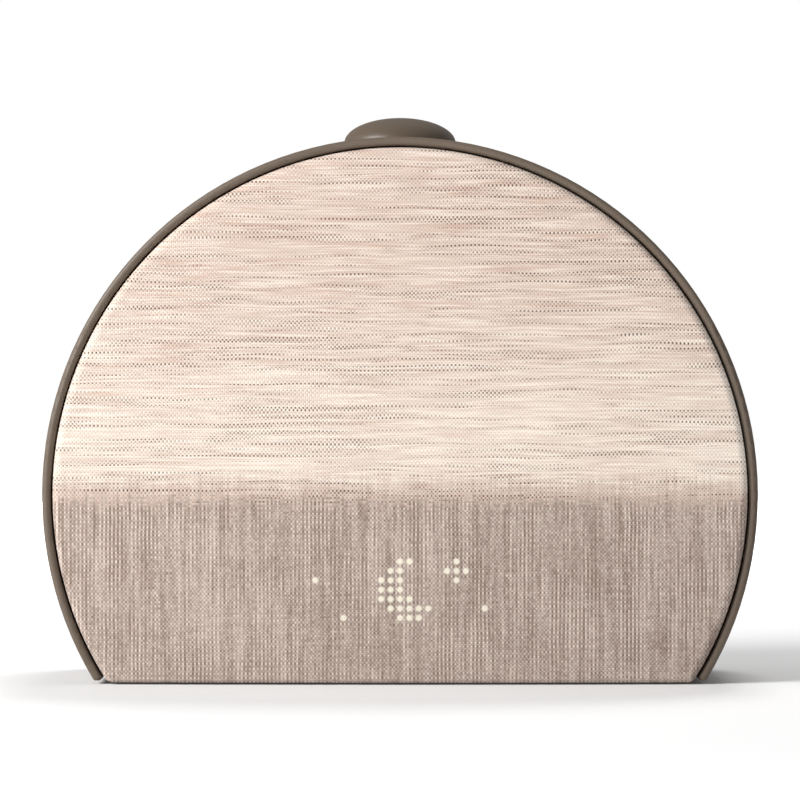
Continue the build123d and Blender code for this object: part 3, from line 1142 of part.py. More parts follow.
# Power socket: a moulded block on the board with a round collar, a bore and a centre pin.
with BuildPart() as power_jack:
    add(slab(at_y(JACK_BLOCK_BACK_Y), (POWER_X, JACK_Z), JACK_WIDTH, JACK_HEIGHT,
             JACK_BLOCK_BACK_Y - JACK_BLOCK_FRONT_Y))
    add(round_columns(at_y(REAR_Y), [(POWER_X, JACK_Z)], JACK_RADIUS, REAR_Y - JACK_BLOCK_BACK_Y))
    with BuildSketch(at_y(REAR_Y)):
        with Locations((POWER_X, JACK_Z)):
            Circle(JACK_SOCKET)
            Circle(JACK_PIN, mode=Mode.SUBTRACT)
    extrude(amount=JACK_SOCKET_DEPTH, mode=Mode.SUBTRACT)
    add(round_columns(at_y(REAR_Y), [(POWER_X, JACK_Z)], JACK_PIN, JACK_PIN), mode=Mode.SUBTRACT)
power_jack.part.label = "power_jack"
export_step(power_jack.part, "parts/power_jack.step")

power_wires = round_columns(at_y(POWER_BOARD_FRONT_Y + WIRE_BITE),
                            [(x, POWER_BOARD_Z + BOARD_THICK + WIRE_RADIUS) for x in POWER_WIRE_XS],
                            WIRE_RADIUS, POWER_BOARD_FRONT_Y + WIRE_BITE - MAIN_BOARD_Y)
power_wires.label = "power_wires"
export_step(power_wires, "parts/power_wires.step")
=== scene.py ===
# %% [markdown]
# # A bedside smart speaker, finished for its picture
#
# The imported model gives every rigid part of the speaker: the arch-shaped sleeve, the rear cover, the
# crown button, the knobs and everything inside. This notebook keeps those parts where they are and gives
# each one its finish. It makes four things anew: the woven cloth on the front, the dots of light that shine
# through it, a copy of the silicone dome under the button, and the white studio around the speaker.

import json
import math

import bmesh
import bpy
import numpy as np
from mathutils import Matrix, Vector

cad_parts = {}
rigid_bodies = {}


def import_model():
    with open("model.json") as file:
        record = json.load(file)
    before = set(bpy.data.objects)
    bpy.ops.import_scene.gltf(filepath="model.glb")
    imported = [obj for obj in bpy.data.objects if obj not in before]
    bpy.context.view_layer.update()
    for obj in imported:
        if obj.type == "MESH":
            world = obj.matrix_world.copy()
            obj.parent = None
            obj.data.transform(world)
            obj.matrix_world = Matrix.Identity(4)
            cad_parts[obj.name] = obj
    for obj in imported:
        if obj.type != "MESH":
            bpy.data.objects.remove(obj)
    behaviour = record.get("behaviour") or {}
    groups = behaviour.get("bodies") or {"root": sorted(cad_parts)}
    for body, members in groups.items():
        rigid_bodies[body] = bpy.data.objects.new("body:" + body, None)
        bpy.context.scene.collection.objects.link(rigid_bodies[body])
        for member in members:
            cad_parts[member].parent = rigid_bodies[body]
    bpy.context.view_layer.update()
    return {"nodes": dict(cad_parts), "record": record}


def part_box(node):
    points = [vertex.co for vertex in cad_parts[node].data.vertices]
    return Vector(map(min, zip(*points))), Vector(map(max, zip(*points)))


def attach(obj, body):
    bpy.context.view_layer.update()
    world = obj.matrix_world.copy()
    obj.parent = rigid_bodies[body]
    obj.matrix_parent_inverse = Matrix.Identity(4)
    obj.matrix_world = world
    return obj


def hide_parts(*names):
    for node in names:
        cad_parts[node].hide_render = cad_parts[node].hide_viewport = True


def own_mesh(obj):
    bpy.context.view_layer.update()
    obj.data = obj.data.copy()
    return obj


for leftover in list(bpy.data.objects):
    bpy.data.objects.remove(leftover)

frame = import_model()
MM = 0.001

# %% [markdown]
# ## Sizes that the cloth needs
#
# The cloth covers a disc that is cut flat at the bottom and swells a little towards the viewer. Its radius,
# its lowest edge and its depth are read from the box of the plain cloth solid in the frame, so the cloth
# follows the design if the design changes. Only the swell, the roundness of the edge and the thickness of
# the cloth are chosen here, as a cutter would choose them.

# %% Sizes of the cloth
cloth_low, cloth_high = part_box("front_fabric")
TUCK = 0.15 * MM
FACE_RADIUS = (cloth_high.x - cloth_low.x) / 2 - TUCK
CENTRE_Z = cloth_high.z - TUCK - FACE_RADIUS
BOTTOM_Z = cloth_low.z
CROWN_Y = cloth_low.y
HEM_Y = cloth_high.y
CLOTH_THICK = 0.7 * MM
DOME_RISE = 3.0 * MM
EDGE_ROUND = 2.4 * MM
BOTTOM_ROUND = 1.1 * MM
CORNER_ROUND = 3.2 * MM
DOME_RADIUS = (FACE_RADIUS**2 + DOME_RISE**2) / (2 * DOME_RISE)
print(f"cloth radius {FACE_RADIUS / MM:.1f} mm, centre {CENTRE_Z / MM:.1f} mm up")

# %% [markdown]
# ## Helpers for new surfaces
#
# Every new surface here is a grid of points worked out by a formula and turned into quads in one go. That
# is quicker than modelling by hand, it is exact, and it can be changed by changing one number.


# %% A grid of points becomes a mesh
def grid_faces(rows, columns, wrap):
    """Quads between neighbouring points of a rows x columns grid; wrap joins the last column to the first."""
    steps = columns if wrap else columns - 1
    row, column = np.meshgrid(np.arange(rows - 1), np.arange(steps), indexing="ij")
    following = (column + 1) % columns
    corners = [row * columns + column, row * columns + following,
               (row + 1) * columns + following, (row + 1) * columns + column]
    return np.stack(corners, axis=-1).reshape(-1, 4)


def make_piece(name, points, faces, uv=None):
    """A smooth mesh object from arrays of points and quads, with an optional UV pair for each point."""
    mesh = bpy.data.meshes.new(name)
    mesh.vertices.add(len(points))
    mesh.vertices.foreach_set("co", np.asarray(points, np.float32).ravel())
    mesh.loops.add(faces.size)
    mesh.loops.foreach_set("vertex_index", faces.ravel().astype(np.int32))
    mesh.polygons.add(len(faces))
    mesh.polygons.foreach_set("loop_start", np.arange(0, faces.size, faces.shape[1], dtype=np.int32))
    mesh.update(calc_edges=True)
    mesh.polygons.foreach_set("use_smooth", np.full(len(faces), True))
    if uv is not None:
        layer = mesh.uv_layers.new(name="UVMap")
        layer.data.foreach_set("uv", np.asarray(uv, np.float32)[faces.ravel()].ravel())
    mesh.validate()
    piece = bpy.data.objects.new(name, mesh)
    bpy.context.scene.collection.objects.link(piece)
    print(f"{name}: {len(points)} points, {len(faces)} faces")
    return piece


# %% [markdown]
# ## The cloth of the front
#
# On the real speaker a linen-like cloth is pulled tight over a domed plastic carrier and glued behind its
# edge. A cloth simulation would only find that same tight shape again, so the shape is written down
# directly: rings that shrink from the outline towards the middle, lifted onto a large sphere, with a
# quarter-round edge that dives into the gap beside the rim.


# %% Outline of the cloth
def face_outline(arc_points=300, corner_points=10, line_points=90):
    """Closed outline (x, z) of the face and its outward direction at each point: a large arc, two small
    corner arcs tangent to it, and a straight bottom line. Each point is the centre of its arc plus the
    radius times the outward direction; along the bottom line the centre moves instead of the direction."""
    low = BOTTOM_Z + CORNER_ROUND - CENTRE_Z
    reach = math.sqrt((FACE_RADIUS - CORNER_ROUND) ** 2 - low**2)
    tilt = math.atan2(low, reach)
    right_turn = np.linspace(-math.pi / 2, tilt, corner_points, endpoint=False)
    over_the_top = np.linspace(tilt, math.pi - tilt, arc_points, endpoint=False)
    left_turn = np.linspace(math.pi - tilt, 1.5 * math.pi, corner_points, endpoint=False)
    angle = np.concatenate([right_turn, over_the_top, left_turn, np.full(line_points, -math.pi / 2)])
    outward = np.stack([np.cos(angle), np.sin(angle)], axis=1)
    corner = CORNER_ROUND * np.ones((corner_points, 1))
    centre_x = np.concatenate([np.full(corner_points, reach), np.zeros(arc_points),
                               np.full(corner_points, -reach),
                               np.linspace(-reach, reach, line_points, endpoint=False)])
    centre_z = np.concatenate([np.full(corner_points, low), np.zeros(arc_points),
                               np.full(corner_points, low), np.full(line_points, low)])
    radius = np.concatenate([corner[:, 0], np.full(arc_points, FACE_RADIUS), corner[:, 0],
                             np.full(line_points, CORNER_ROUND)])
    place = np.stack([centre_x, centre_z + CENTRE_Z], axis=1) + radius[:, None] * outward
    return place, outward


def dome_depth(x, z):
    """Depth y of the swollen face: a sphere of radius DOME_RADIUS that touches y = CROWN_Y at the centre."""
    square = x**2 + (z - CENTRE_Z) ** 2
    return CROWN_Y + DOME_RADIUS - np.sqrt(DOME_RADIUS**2 - square)


# %% Cloth surface
BOTTOM_STARTS = 0.55
BOTTOM_BLEND = 0.4
RING_CROWDING = 0.85


def cloth_points(flat_rings=46, edge_rings=9, hem_rings=4):
    """Rings of points from the middle of the face to the hem. On the flat rings a point slides from the
    middle to the start of the rounded edge; on the edge rings it follows a quarter circle, whose radius is
    EDGE_ROUND along the arch and shrinks to BOTTOM_ROUND where the outline faces downwards; on the hem
    rings it goes straight back. RING_CROWDING below 1 puts the flat rings closer together near the edge."""
    outline, outward = face_outline()
    middle = np.array([0.0, CENTRE_Z])
    downward = np.clip((-outward[:, 1] - BOTTOM_STARTS) / BOTTOM_BLEND, 0, 1)
    round_here = (EDGE_ROUND + (BOTTOM_ROUND - EDGE_ROUND) * downward)[:, None]
    start = outline - round_here * outward
    share = np.linspace(0, 1, flat_rings)[:, None, None] ** RING_CROWDING
    flat = middle + share * (start - middle)
    turn = np.linspace(0, math.pi / 2, edge_rings + 1)[1:, None]
    edge = start + round_here * np.sin(turn)[..., None] * outward
    drop = (1 - np.cos(turn)) * round_here[:, 0]
    flat_y = dome_depth(flat[..., 0], flat[..., 1])
    edge_y = dome_depth(start[:, 0], start[:, 1]) + drop
    sink = np.linspace(0, 1, hem_rings + 1)[1:, None]
    hem_y = edge_y[-1] + sink * (HEM_Y - edge_y[-1])
    hem = np.repeat(outline[None], hem_rings, axis=0)
    x = np.concatenate([flat[..., 0], edge[..., 0], hem[..., 0]])
    z = np.concatenate([flat[..., 1], edge[..., 1], hem[..., 1]])
    y = np.concatenate([flat_y, edge_y, hem_y])
    return np.stack([x, y, z], axis=-1)


rings = cloth_points()
ring_count, around = rings.shape[:2]
cloth_xyz = rings.reshape(-1, 3)
print(f"cloth: {ring_count} rings of {around} points")

# %% [markdown]
# The rings all start in one point in the middle. The first ring is squeezed to that point, so its quads are
# merged into triangles there. The cloth then gets its thickness from a Solidify modifier, turned inwards,
# because the outside is what was measured. Its UV map is simply x and z in millimetres, so threads have
# their true width and run true from side to side.

# %% Make the cloth
cloth_uv = cloth_xyz[:, [0, 2]] / MM
front_cloth = make_piece("front_cloth", cloth_xyz, grid_faces(ring_count, around, True)[:, ::-1], cloth_uv)
SAME_POINT = 0.001 * MM


def merge_points(piece):
    """Merges points that share a place and turns the normals outwards; an open sheet is turned so that it
    faces the viewer, along -Y."""
    work = bmesh.new()
    work.from_mesh(piece.data)
    bmesh.ops.remove_doubles(work, verts=work.verts, dist=SAME_POINT)
    bmesh.ops.recalc_face_normals(work, faces=work.faces)
    facing = sum(face.normal.y * face.calc_area() for face in work.faces)
    if facing > 0 and any(edge.is_boundary for edge in work.edges):
        bmesh.ops.reverse_faces(work, faces=work.faces)
    work.to_mesh(piece.data)
    work.free()


merge_points(front_cloth)
wall = front_cloth.modifiers.new("thickness", "SOLIDIFY")
wall.thickness = CLOTH_THICK
wall.offset = -1
wall.use_even_offset = True
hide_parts("front_fabric")
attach(front_cloth, "housing")

# %% [markdown]
# ## Writing materials as formulas
#
# A material is a network of nodes, but a weave is easier to read as a formula. The small class below lets a
# socket of a node be added, multiplied and passed through functions, and each step adds one Math node.


# %% Node arithmetic
class Wire:
    """An output socket that can be used in sums and products. Each operation adds a Math node."""

    def __init__(self, nodes, socket):
        self.nodes = nodes
        self.socket = socket

    def step(self, operation, *others):
        """A Math node with this wire first and the others after it."""
        node = self.nodes.new("ShaderNodeMath")
        node.operation = operation
        for slot, value in enumerate([self, *others]):
            plug(self.nodes, value, node.inputs[slot])
        return Wire(self.nodes, node.outputs[0])

    def __add__(self, other):
        return self.step("ADD", other)

    def __sub__(self, other):
        return self.step("SUBTRACT", other)

    def __mul__(self, other):
        return self.step("MULTIPLY", other)

    def __truediv__(self, other):
        return self.step("DIVIDE", other)

    def sine(self):
        return self.step("SINE")

    def floor(self):
        return self.step("FLOOR")

    def size(self):
        return self.step("ABSOLUTE")

    def power(self, exponent):
        return self.step("POWER", exponent)

    def between(self, low, high):
        """0 below low, 1 above high, with a smooth rise between."""
        node = self.nodes.new("ShaderNodeMapRange")
        node.interpolation_type = "SMOOTHSTEP"
        plug(self.nodes, self, node.inputs["Value"])
        node.inputs["From Min"].default_value = low
        node.inputs["From Max"].default_value = high
        return Wire(self.nodes, node.outputs["Result"])


def plug(nodes, value, target):
    """Links a wire to a socket, or writes a plain number or colour into it."""
    if isinstance(value, Wire):
        nodes.id_data.links.new(value.socket, target)
    else:
        target.default_value = value


def vector(nodes, x, y, z=0.0):
    """A vector put together from three wires or numbers."""
    node = nodes.new("ShaderNodeCombineXYZ")
    for value, target in zip((x, y, z), node.inputs):
        plug(nodes, value, target)
    return Wire(nodes, node.outputs[0])


def noise(nodes, place, scale=1.0, detail=2.0, roughness=0.5):
    """Smooth noise between 0 and 1 at a place."""
    node = nodes.new("ShaderNodeTexNoise")
    plug(nodes, place, node.inputs["Vector"])
    node.inputs["Scale"].default_value = scale
    node.inputs["Detail"].default_value = detail
    node.inputs["Roughness"].default_value = roughness
    return Wire(nodes, node.outputs["Fac"])


COLOUR_A, COLOUR_B, COLOUR_OUT = 6, 7, 2


def mix(nodes, share, first, second):
    """A colour between first and second, in linear light. The Mix node has sockets for numbers, vectors and
    colours; the colour ones are found by their place in the list."""
    node = nodes.new("ShaderNodeMix")
    node.data_type = "RGBA"
    plug(nodes, share, node.inputs["Factor"])
    plug(nodes, first, node.inputs[COLOUR_A])
    plug(nodes, second, node.inputs[COLOUR_B])
    return Wire(nodes, node.outputs[COLOUR_OUT])


def linear(red, green, blue):
    """A colour given in the usual 0 to 255 display values, as linear light with full cover."""
    display = np.array([red, green, blue]) / 255
    light = np.where(display <= 0.04045, display / 12.92, ((display + 0.055) / 1.055) ** 2.4)
    return (*light.tolist(), 1.0)


def new_material(name):
    """An empty material with a shader, and its nodes."""
    material = bpy.data.materials.new(name)
    material.use_nodes = True
    nodes = material.node_tree.nodes
    shader = nodes["Principled BSDF"]
    return material, nodes, shader


def raise_surface(nodes, shader, height, distance, strength=1.0):
    """Bumps the shader's surface by a height wire, at a distance in metres."""
    bump = nodes.new("ShaderNodeBump")
    bump.inputs["Strength"].default_value = strength
    bump.inputs["Distance"].default_value = distance
    plug(nodes, height, bump.inputs["Height"])
    nodes.id_data.links.new(bump.outputs["Normal"], shader.inputs["Normal"])


# %% [markdown]
# ## The weave
#
# The cloth is a plain weave of uneven linen-like yarn. Seen close, each second crossing shows the upright
# yarn and the others show the level yarn, so the cloth is a fine chequer of two threads by two. Above the
# horizon the lamp behind it shines through the level yarns, and the upright ones, which hold it back, get
# painted shade as rows of dark stitches. Below the horizon nothing shines through, and the upright yarns give
# the cloth its streaks.
#
# Counting threads is all that such a pattern needs. The whole part of a count says which thread a point is
# on, so noise of the whole part gives every thread its own tone, and noise that is stretched along the
# thread lets that tone drift as spun yarn does. The last number of each place is only a seed, so that no two
# noises look alike.

# %% Thread counts and colours
# Lengths in millimetres; wavers in threads; ranges are shares of a noise between 0 and 1.
UPRIGHT_PITCH = 0.5585
LEVEL_PITCH = 0.63
UPRIGHT_WAVER = 0.9
LEVEL_WAVER = 2.6
HORIZON = 54.9
HORIZON_SOFT = 6.6
ROW_FRAY = 8.0
COLUMN_FRAY = 9.0
LAMP_REACH = (62.0, 126.0)
LAMP_LEVEL = 0.195
LAMP_FADE = 0.18
THREAD_ON_TOP = (-0.35, 0.75)
STRONG_ROWS = (0.46, 0.65)
PINK_PATCHES = (0.44, 0.66)
PALE_YARNS = (0.40, 0.66)
THREAD_HEIGHT = 0.12 * MM

LEVEL_YARN = linear(203, 182, 168)
LEVEL_YARN_PINK = linear(198, 172, 157)
LEVEL_YARN_PALE = linear(226, 211, 198)
LEVEL_YARN_DUSK = linear(202, 180, 167)
# Painted shade: the dark look of the upright yarns above the horizon, where they hold back the lamp light
# behind the cloth.
STITCH_SHADE = linear(84, 63, 52)
UPRIGHT_LIGHT = linear(232, 218, 208)
UPRIGHT_DARK = linear(160, 141, 129)
# Painted shade: the dark inside of the speaker seen through the open weave.
GAP_SHADE = linear(108, 90, 80)
GAP_PALE = linear(190, 172, 160)
LAMP_WHITE = linear(240, 250, 243)
DOT_WHITE = linear(234, 228, 211)
print(f"threads to the centimetre: {10 / UPRIGHT_PITCH:.0f} upright, {10 / LEVEL_PITCH:.0f} level")


# %% The threads of the cloth
def thread_grid(nodes):
    """The two thread counts a and b at a point, from its x and z in millimetres, with a slow waver so that
    no thread runs perfectly straight. Returns x, z, a and b."""
    uv = nodes.new("ShaderNodeUVMap")
    uv.uv_map = "UVMap"
    parts = nodes.new("ShaderNodeSeparateXYZ")
    nodes.id_data.links.new(uv.outputs["UV"], parts.inputs[0])
    x, z = Wire(nodes, parts.outputs[0]), Wire(nodes, parts.outputs[1])
    sway = noise(nodes, vector(nodes, x * 0.05, z * 0.12), 1.0, 1.0)
    lift = noise(nodes, vector(nodes, x * 0.035, z * 0.22, 7.0), 1.0, 1.0)
    return x, z, x / UPRIGHT_PITCH + sway * UPRIGHT_WAVER, z / LEVEL_PITCH + lift * LEVEL_WAVER


def upper_colour(nodes, x, z, b, upright_top, lit):
    """Colour above the horizon. Each level yarn has its own shade, from pale to pink, that changes slowly
    along it and is duller where little lamp light reaches it; the upright yarns, which hold back the lamp
    light, get painted shade as dark stitches, strong in some rows and faint in others. Returns the colour
    and the share of painted stitch shade."""
    row = b.floor()
    long_run = noise(nodes, vector(nodes, x * 0.018, row * 5.37, 2.0), 1.0, 1.0)
    short_run = noise(nodes, vector(nodes, x * 0.12, row * 7.13, 4.0), 1.0, 2.0, 0.6)
    strength = (long_run * 0.65 + short_run * 0.35).between(*STRONG_ROWS)
    # Share of painted shade on the upright yarns; it also dims the lamp light there.
    stitch_shade = upright_top * (strength * 0.74 + lit * -0.28 + 0.50)
    shade = noise(nodes, vector(nodes, x * 0.04, b * 0.97, 8.0), 1.0, 3.0, 0.7)
    patch = noise(nodes, vector(nodes, x * 0.04, z * 0.21, 11.0), 1.0, 3.0, 0.6)
    warm = mix(nodes, patch.between(*PINK_PATCHES), LEVEL_YARN, LEVEL_YARN_PINK)
    bright = mix(nodes, shade.between(*PALE_YARNS), warm, LEVEL_YARN_PALE)
    yarn = mix(nodes, lit.between(0.1, 0.95), LEVEL_YARN_DUSK, bright)
    return mix(nodes, stitch_shade, yarn, STITCH_SHADE), stitch_shade


def lower_colour(nodes, x, z, a, b, upright_top):
    """Colour below the horizon. Every second upright yarn is a shade darker, each yarn has its own tone that
    changes slowly along it, and the level yarns between get painted shade where the cloth is open."""
    column = a.floor()
    row = b.floor()
    pair = (a * math.pi).sine()
    pair_share = noise(nodes, vector(nodes, x * 0.13, z * 0.03, 12.0), 1.0, 1.0).between(0.3, 0.7)
    yarn = noise(nodes, vector(nodes, column * 5.63, z * 0.05, 5.0), 1.0, 2.0, 0.6)
    group = noise(nodes, vector(nodes, x * 0.34, z * 0.016, 9.0), 1.0, 2.0, 0.6)
    cloud = noise(nodes, vector(nodes, x * 0.045, z * 0.07, 15.0), 1.0, 2.0)
    level = noise(nodes, vector(nodes, x * 0.05, b * 0.61, 18.0), 1.0, 2.0, 0.6)
    single = noise(nodes, vector(nodes, column * 3.9, row * 2.7, 24.0), 1.0, 1.0)
    drift = (yarn - 0.5) * 1.3 + (group - 0.5) * 0.8 + (cloud - 0.5) * 0.4 + (single - 0.5) * 1.2
    tone = pair * (pair_share * 0.34 + 0.06) + drift + 0.5
    thread = mix(nodes, tone.between(-0.2, 1.2), UPRIGHT_DARK, UPRIGHT_LIGHT)
    # Painted shade of the inside, seen where the weave is open, laid over the level yarns.
    shade_in_openings = (tone * -0.7 + level * 0.6 + 0.42).between(-0.35, 0.85)
    gap_shade = mix(nodes, shade_in_openings, GAP_PALE, GAP_SHADE)
    return mix(nodes, upright_top * 0.62 + 0.2, gap_shade, thread)


# %% The cloth's material
def cloth_material():
    """Plain weave: c = sin(pi a) sin(pi b), with a and b counted in threads, is positive where an upright
    thread lies on top and negative where a level one does. The lamp adds light above the horizon that
    fades towards the crown; the horizon is frayed along single rows and columns of threads. The glow
    attribute adds the light of the dots."""
    material, nodes, shader = new_material("linen_weave")
    x, z, a, b = thread_grid(nodes)
    crossing = (a * math.pi).sine() * (b * math.pi).sine()
    upright_top = crossing.between(*THREAD_ON_TOP)
    ragged = noise(nodes, vector(nodes, x * 0.16, b.floor() * 1.3, 21.0), 1.0, 2.0, 0.6)
    frayed = noise(nodes, vector(nodes, a.floor() * 2.3, z * 0.06, 27.0), 1.0, 1.0)
    frayed_z = z + (ragged - 0.5) * ROW_FRAY + (frayed - 0.5) * COLUMN_FRAY
    lit = frayed_z.between(HORIZON - HORIZON_SOFT, HORIZON + HORIZON_SOFT)
    upper, stitch_shade = upper_colour(nodes, x, z, b, upright_top, lit)
    lower = lower_colour(nodes, x, z, a, b, upright_top)
    dot = nodes.new("ShaderNodeAttribute")
    dot.attribute_name = "glow"
    dot_level = Wire(nodes, dot.outputs["Fac"])
    colour = mix(nodes, lit.between(0.02, 0.32), lower, upper)
    plug(nodes, mix(nodes, dot_level * 0.85, colour, DOT_WHITE), shader.inputs["Base Color"])

    fade = z.between(*LAMP_REACH)
    lamp_level = lit * lit * (fade * -LAMP_FADE + LAMP_LEVEL) * (stitch_shade * -0.85 + 1.0)
    plug(nodes, mix(nodes, dot_level, LAMP_WHITE, DOT_WHITE), shader.inputs["Emission Color"])
    plug(nodes, lamp_level + dot_level * 0.05, shader.inputs["Emission Strength"])

    shader.inputs["Roughness"].default_value = 0.85
    shader.inputs["Specular IOR Level"].default_value = 0.2
    shader.inputs["Sheen Weight"].default_value = 0.1
    shader.inputs["Sheen Roughness"].default_value = 0.5
    height = crossing.size().power(0.5) * (ragged * 0.5 + 0.75)
    raise_surface(nodes, shader, height, THREAD_HEIGHT, 0.6)
    return material


linen = cloth_material()
front_cloth.data.materials.append(linen)
print("linen nodes:", len(linen.node_tree.nodes))

# %% [markdown]
# ## The dots of light
#
# Small lamps behind the cloth draw a crescent moon, a plus-shaped star and a few single stars. Each lit dot
# is a small disc of the same cloth laid on the front, with a value called glow that is 1 in the middle and
# falls to 0 at its edge. The shared material adds light where glow is high, so a dot melts into the weave.

# %% Lay out the dots
DOT_ROWS = [
    "...........XX....X.....",
    "..........XX....XXX....",
    "..X......XXX.....X.....",
    ".........XXX...........",
    ".........XXXX..........",
    "..........XXXXX.....X..",
    ".....X.....XXX.........",
]
DOT_PITCH = 2.66 * MM
DOT_RADIUS = 1.12 * MM
DISPLAY_Z = 27.0 * MM
INDICATOR = (30.2 * MM, 31.0 * MM)


def dot_centres():
    """Centres (x, z) of the lit dots: rows and columns of a grid about the middle of the display."""
    lit = np.array([[mark == "X" for mark in row] for row in DOT_ROWS])
    row, column = np.nonzero(lit)
    rows, columns = lit.shape
    x = (column - (columns - 1) / 2) * DOT_PITCH
    z = DISPLAY_Z - (row - (rows - 1) / 2) * DOT_PITCH
    return np.stack([x, z], axis=1)


DOT_EDGE = 0.45
TINY_SHARE = 0.45
TINY_GLOW = 0.5
CLEARANCE = 0.001 * MM


def dot_discs(centres, radius, rings=6, spokes=20, lift=0.03 * MM):
    """Discs of rings x spokes points that follow the swollen face, a little in front of it, with their
    glow: 1 in the middle, falling smoothly to 0 over the outer share DOT_EDGE of the radius."""
    share = np.linspace(0, 1, rings)
    angle = np.linspace(0, 2 * math.pi, spokes, endpoint=False)
    disc_x = share[:, None] * np.cos(angle) * radius
    disc_z = share[:, None] * np.sin(angle) * radius
    x = centres[:, 0, None, None] + disc_x
    z = centres[:, 1, None, None] + disc_z
    y = dome_depth(x, z) - lift * (1 - share[:, None] ** 4) - CLEARANCE
    fall = np.clip((1 - share) / DOT_EDGE, 0, 1)
    glow = np.broadcast_to((fall**2 * (3 - 2 * fall))[:, None], (rings, spokes))
    points = np.stack([x, y, z], axis=-1).reshape(-1, 3)
    quads = grid_faces(rings, spokes, True)
    offsets = np.arange(len(centres)) * rings * spokes
    faces = (quads[None] + offsets[:, None, None]).reshape(-1, 4)
    return points, faces, np.tile(glow.ravel(), len(centres))


# %% Make the dots
dot_xyz, dot_faces, dot_glow = dot_discs(dot_centres(), DOT_RADIUS)
tiny_xyz, tiny_faces, tiny_glow = dot_discs(np.array([INDICATOR]), DOT_RADIUS * TINY_SHARE)
all_xyz = np.concatenate([dot_xyz, tiny_xyz])
all_faces = np.concatenate([dot_faces, tiny_faces + len(dot_xyz)])
lit_dots = make_piece("lit_dots", all_xyz, all_faces, all_xyz[:, [0, 2]] / MM)
glow_values = lit_dots.data.attributes.new("glow", "FLOAT", "POINT")
glow_values.data.foreach_set("value", np.concatenate([dot_glow, tiny_glow * TINY_GLOW]).astype(np.float32))
merge_points(lit_dots)
lit_dots.data.materials.append(linen)
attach(lit_dots, "housing")
print("lit dots:", len(dot_centres()) + 1)

# %% [markdown]
# ## The soft dome under the button
#
# On the real speaker the button stands on a small silicone dome that gives way when it is pressed. The
# packed dome is rigid, so the stem would pass through it. A copy of it, with the loose triangles joined,
# takes its place; it keeps the packed shape and does not flatten when the button goes down. Its finish
# is put on together with those of the other rigid parts, further on.

# %% Make the copy of the dome
rigid_dome = frame["nodes"]["button_dome"]
soft_mesh = rigid_dome.data.copy()
soft_mesh.transform(rigid_dome.matrix_world)
soft_dome = bpy.data.objects.new("soft_dome", soft_mesh)
bpy.context.scene.collection.objects.link(soft_dome)
merge_points(soft_dome)
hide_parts("button_dome")
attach(soft_dome, "housing")
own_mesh(soft_dome)

# %% [markdown]
# ## Finishes of the rigid parts
#
# The rigid parts come ready shaped from the imported model, so they only need finishes. Most are moulded
# plastic, and moulded plastic is never one even colour: it has a fine spark-eroded grain, faint cloudy
# changes of gloss, and edges that hands have polished. One function makes such a plastic for any colour,
# with the grain and the cloudy gloss; it leaves the polished edges out.


# %% Plastic, metal and rubber
def object_place(nodes, scale=1.0):
    """Object coordinates in millimetres times a scale."""
    place = nodes.new("ShaderNodeTexCoord")
    stretch = nodes.new("ShaderNodeMapping")
    stretch.inputs["Scale"].default_value = (scale / MM,) * 3
    nodes.id_data.links.new(place.outputs["Object"], stretch.inputs["Vector"])
    return Wire(nodes, stretch.outputs[0])


def tones(colour, spread):
    """A darker and a lighter version of a display colour."""
    darker = [part * (1 - spread) for part in colour]
    lighter = [min(255, part * (1 + spread)) for part in colour]
    return linear(*darker), linear(*lighter)


def moulded(name, colour, gloss, grain, depth, spread=0.05, shine=0.5):
    """Moulded plastic: cloudy tone between two near shades, roughness around gloss that drifts with the same
    clouds, and a fine grain of the given size in millimetres raised by depth millimetres."""
    material, nodes, shader = new_material(name)
    dark, light = tones(colour, spread)
    clouds = noise(nodes, object_place(nodes, 0.03), 1.0, 4.0)
    speckle = noise(nodes, object_place(nodes, 1 / grain), 1.0, 3.0, 0.7)
    tone = (clouds - 0.5) * 1.4 + (speckle - 0.5) * 0.7 + 0.5
    plug(nodes, mix(nodes, tone.between(0.0, 1.0), dark, light), shader.inputs["Base Color"])
    plug(nodes, clouds * 0.16 + speckle * 0.06 + (gloss - 0.11), shader.inputs["Roughness"])
    shader.inputs["Specular IOR Level"].default_value = shine
    raise_surface(nodes, shader, speckle, depth * MM, 0.8)
    return material


def plated(name, colour, gloss, scratch=0.3):
    """Metal: brushed or tumbled look from noise stretched along X, in tone, roughness and height."""
    material, nodes, shader = new_material(name)
    dark, light = tones(colour, 0.1)
    place = object_place(nodes)
    stretched = nodes.new("ShaderNodeMapping")
    stretched.inputs["Scale"].default_value = (0.15, 2.5, 2.5)
    nodes.id_data.links.new(place.socket, stretched.inputs["Vector"])
    lines = noise(nodes, Wire(nodes, stretched.outputs[0]), 1.0, 3.0, 0.6)
    plug(nodes, mix(nodes, lines, dark, light), shader.inputs["Base Color"])
    plug(nodes, lines * scratch * 0.5 + gloss, shader.inputs["Roughness"])
    shader.inputs["Metallic"].default_value = 1.0
    raise_surface(nodes, shader, lines, 0.01 * MM, 0.5)
    return material


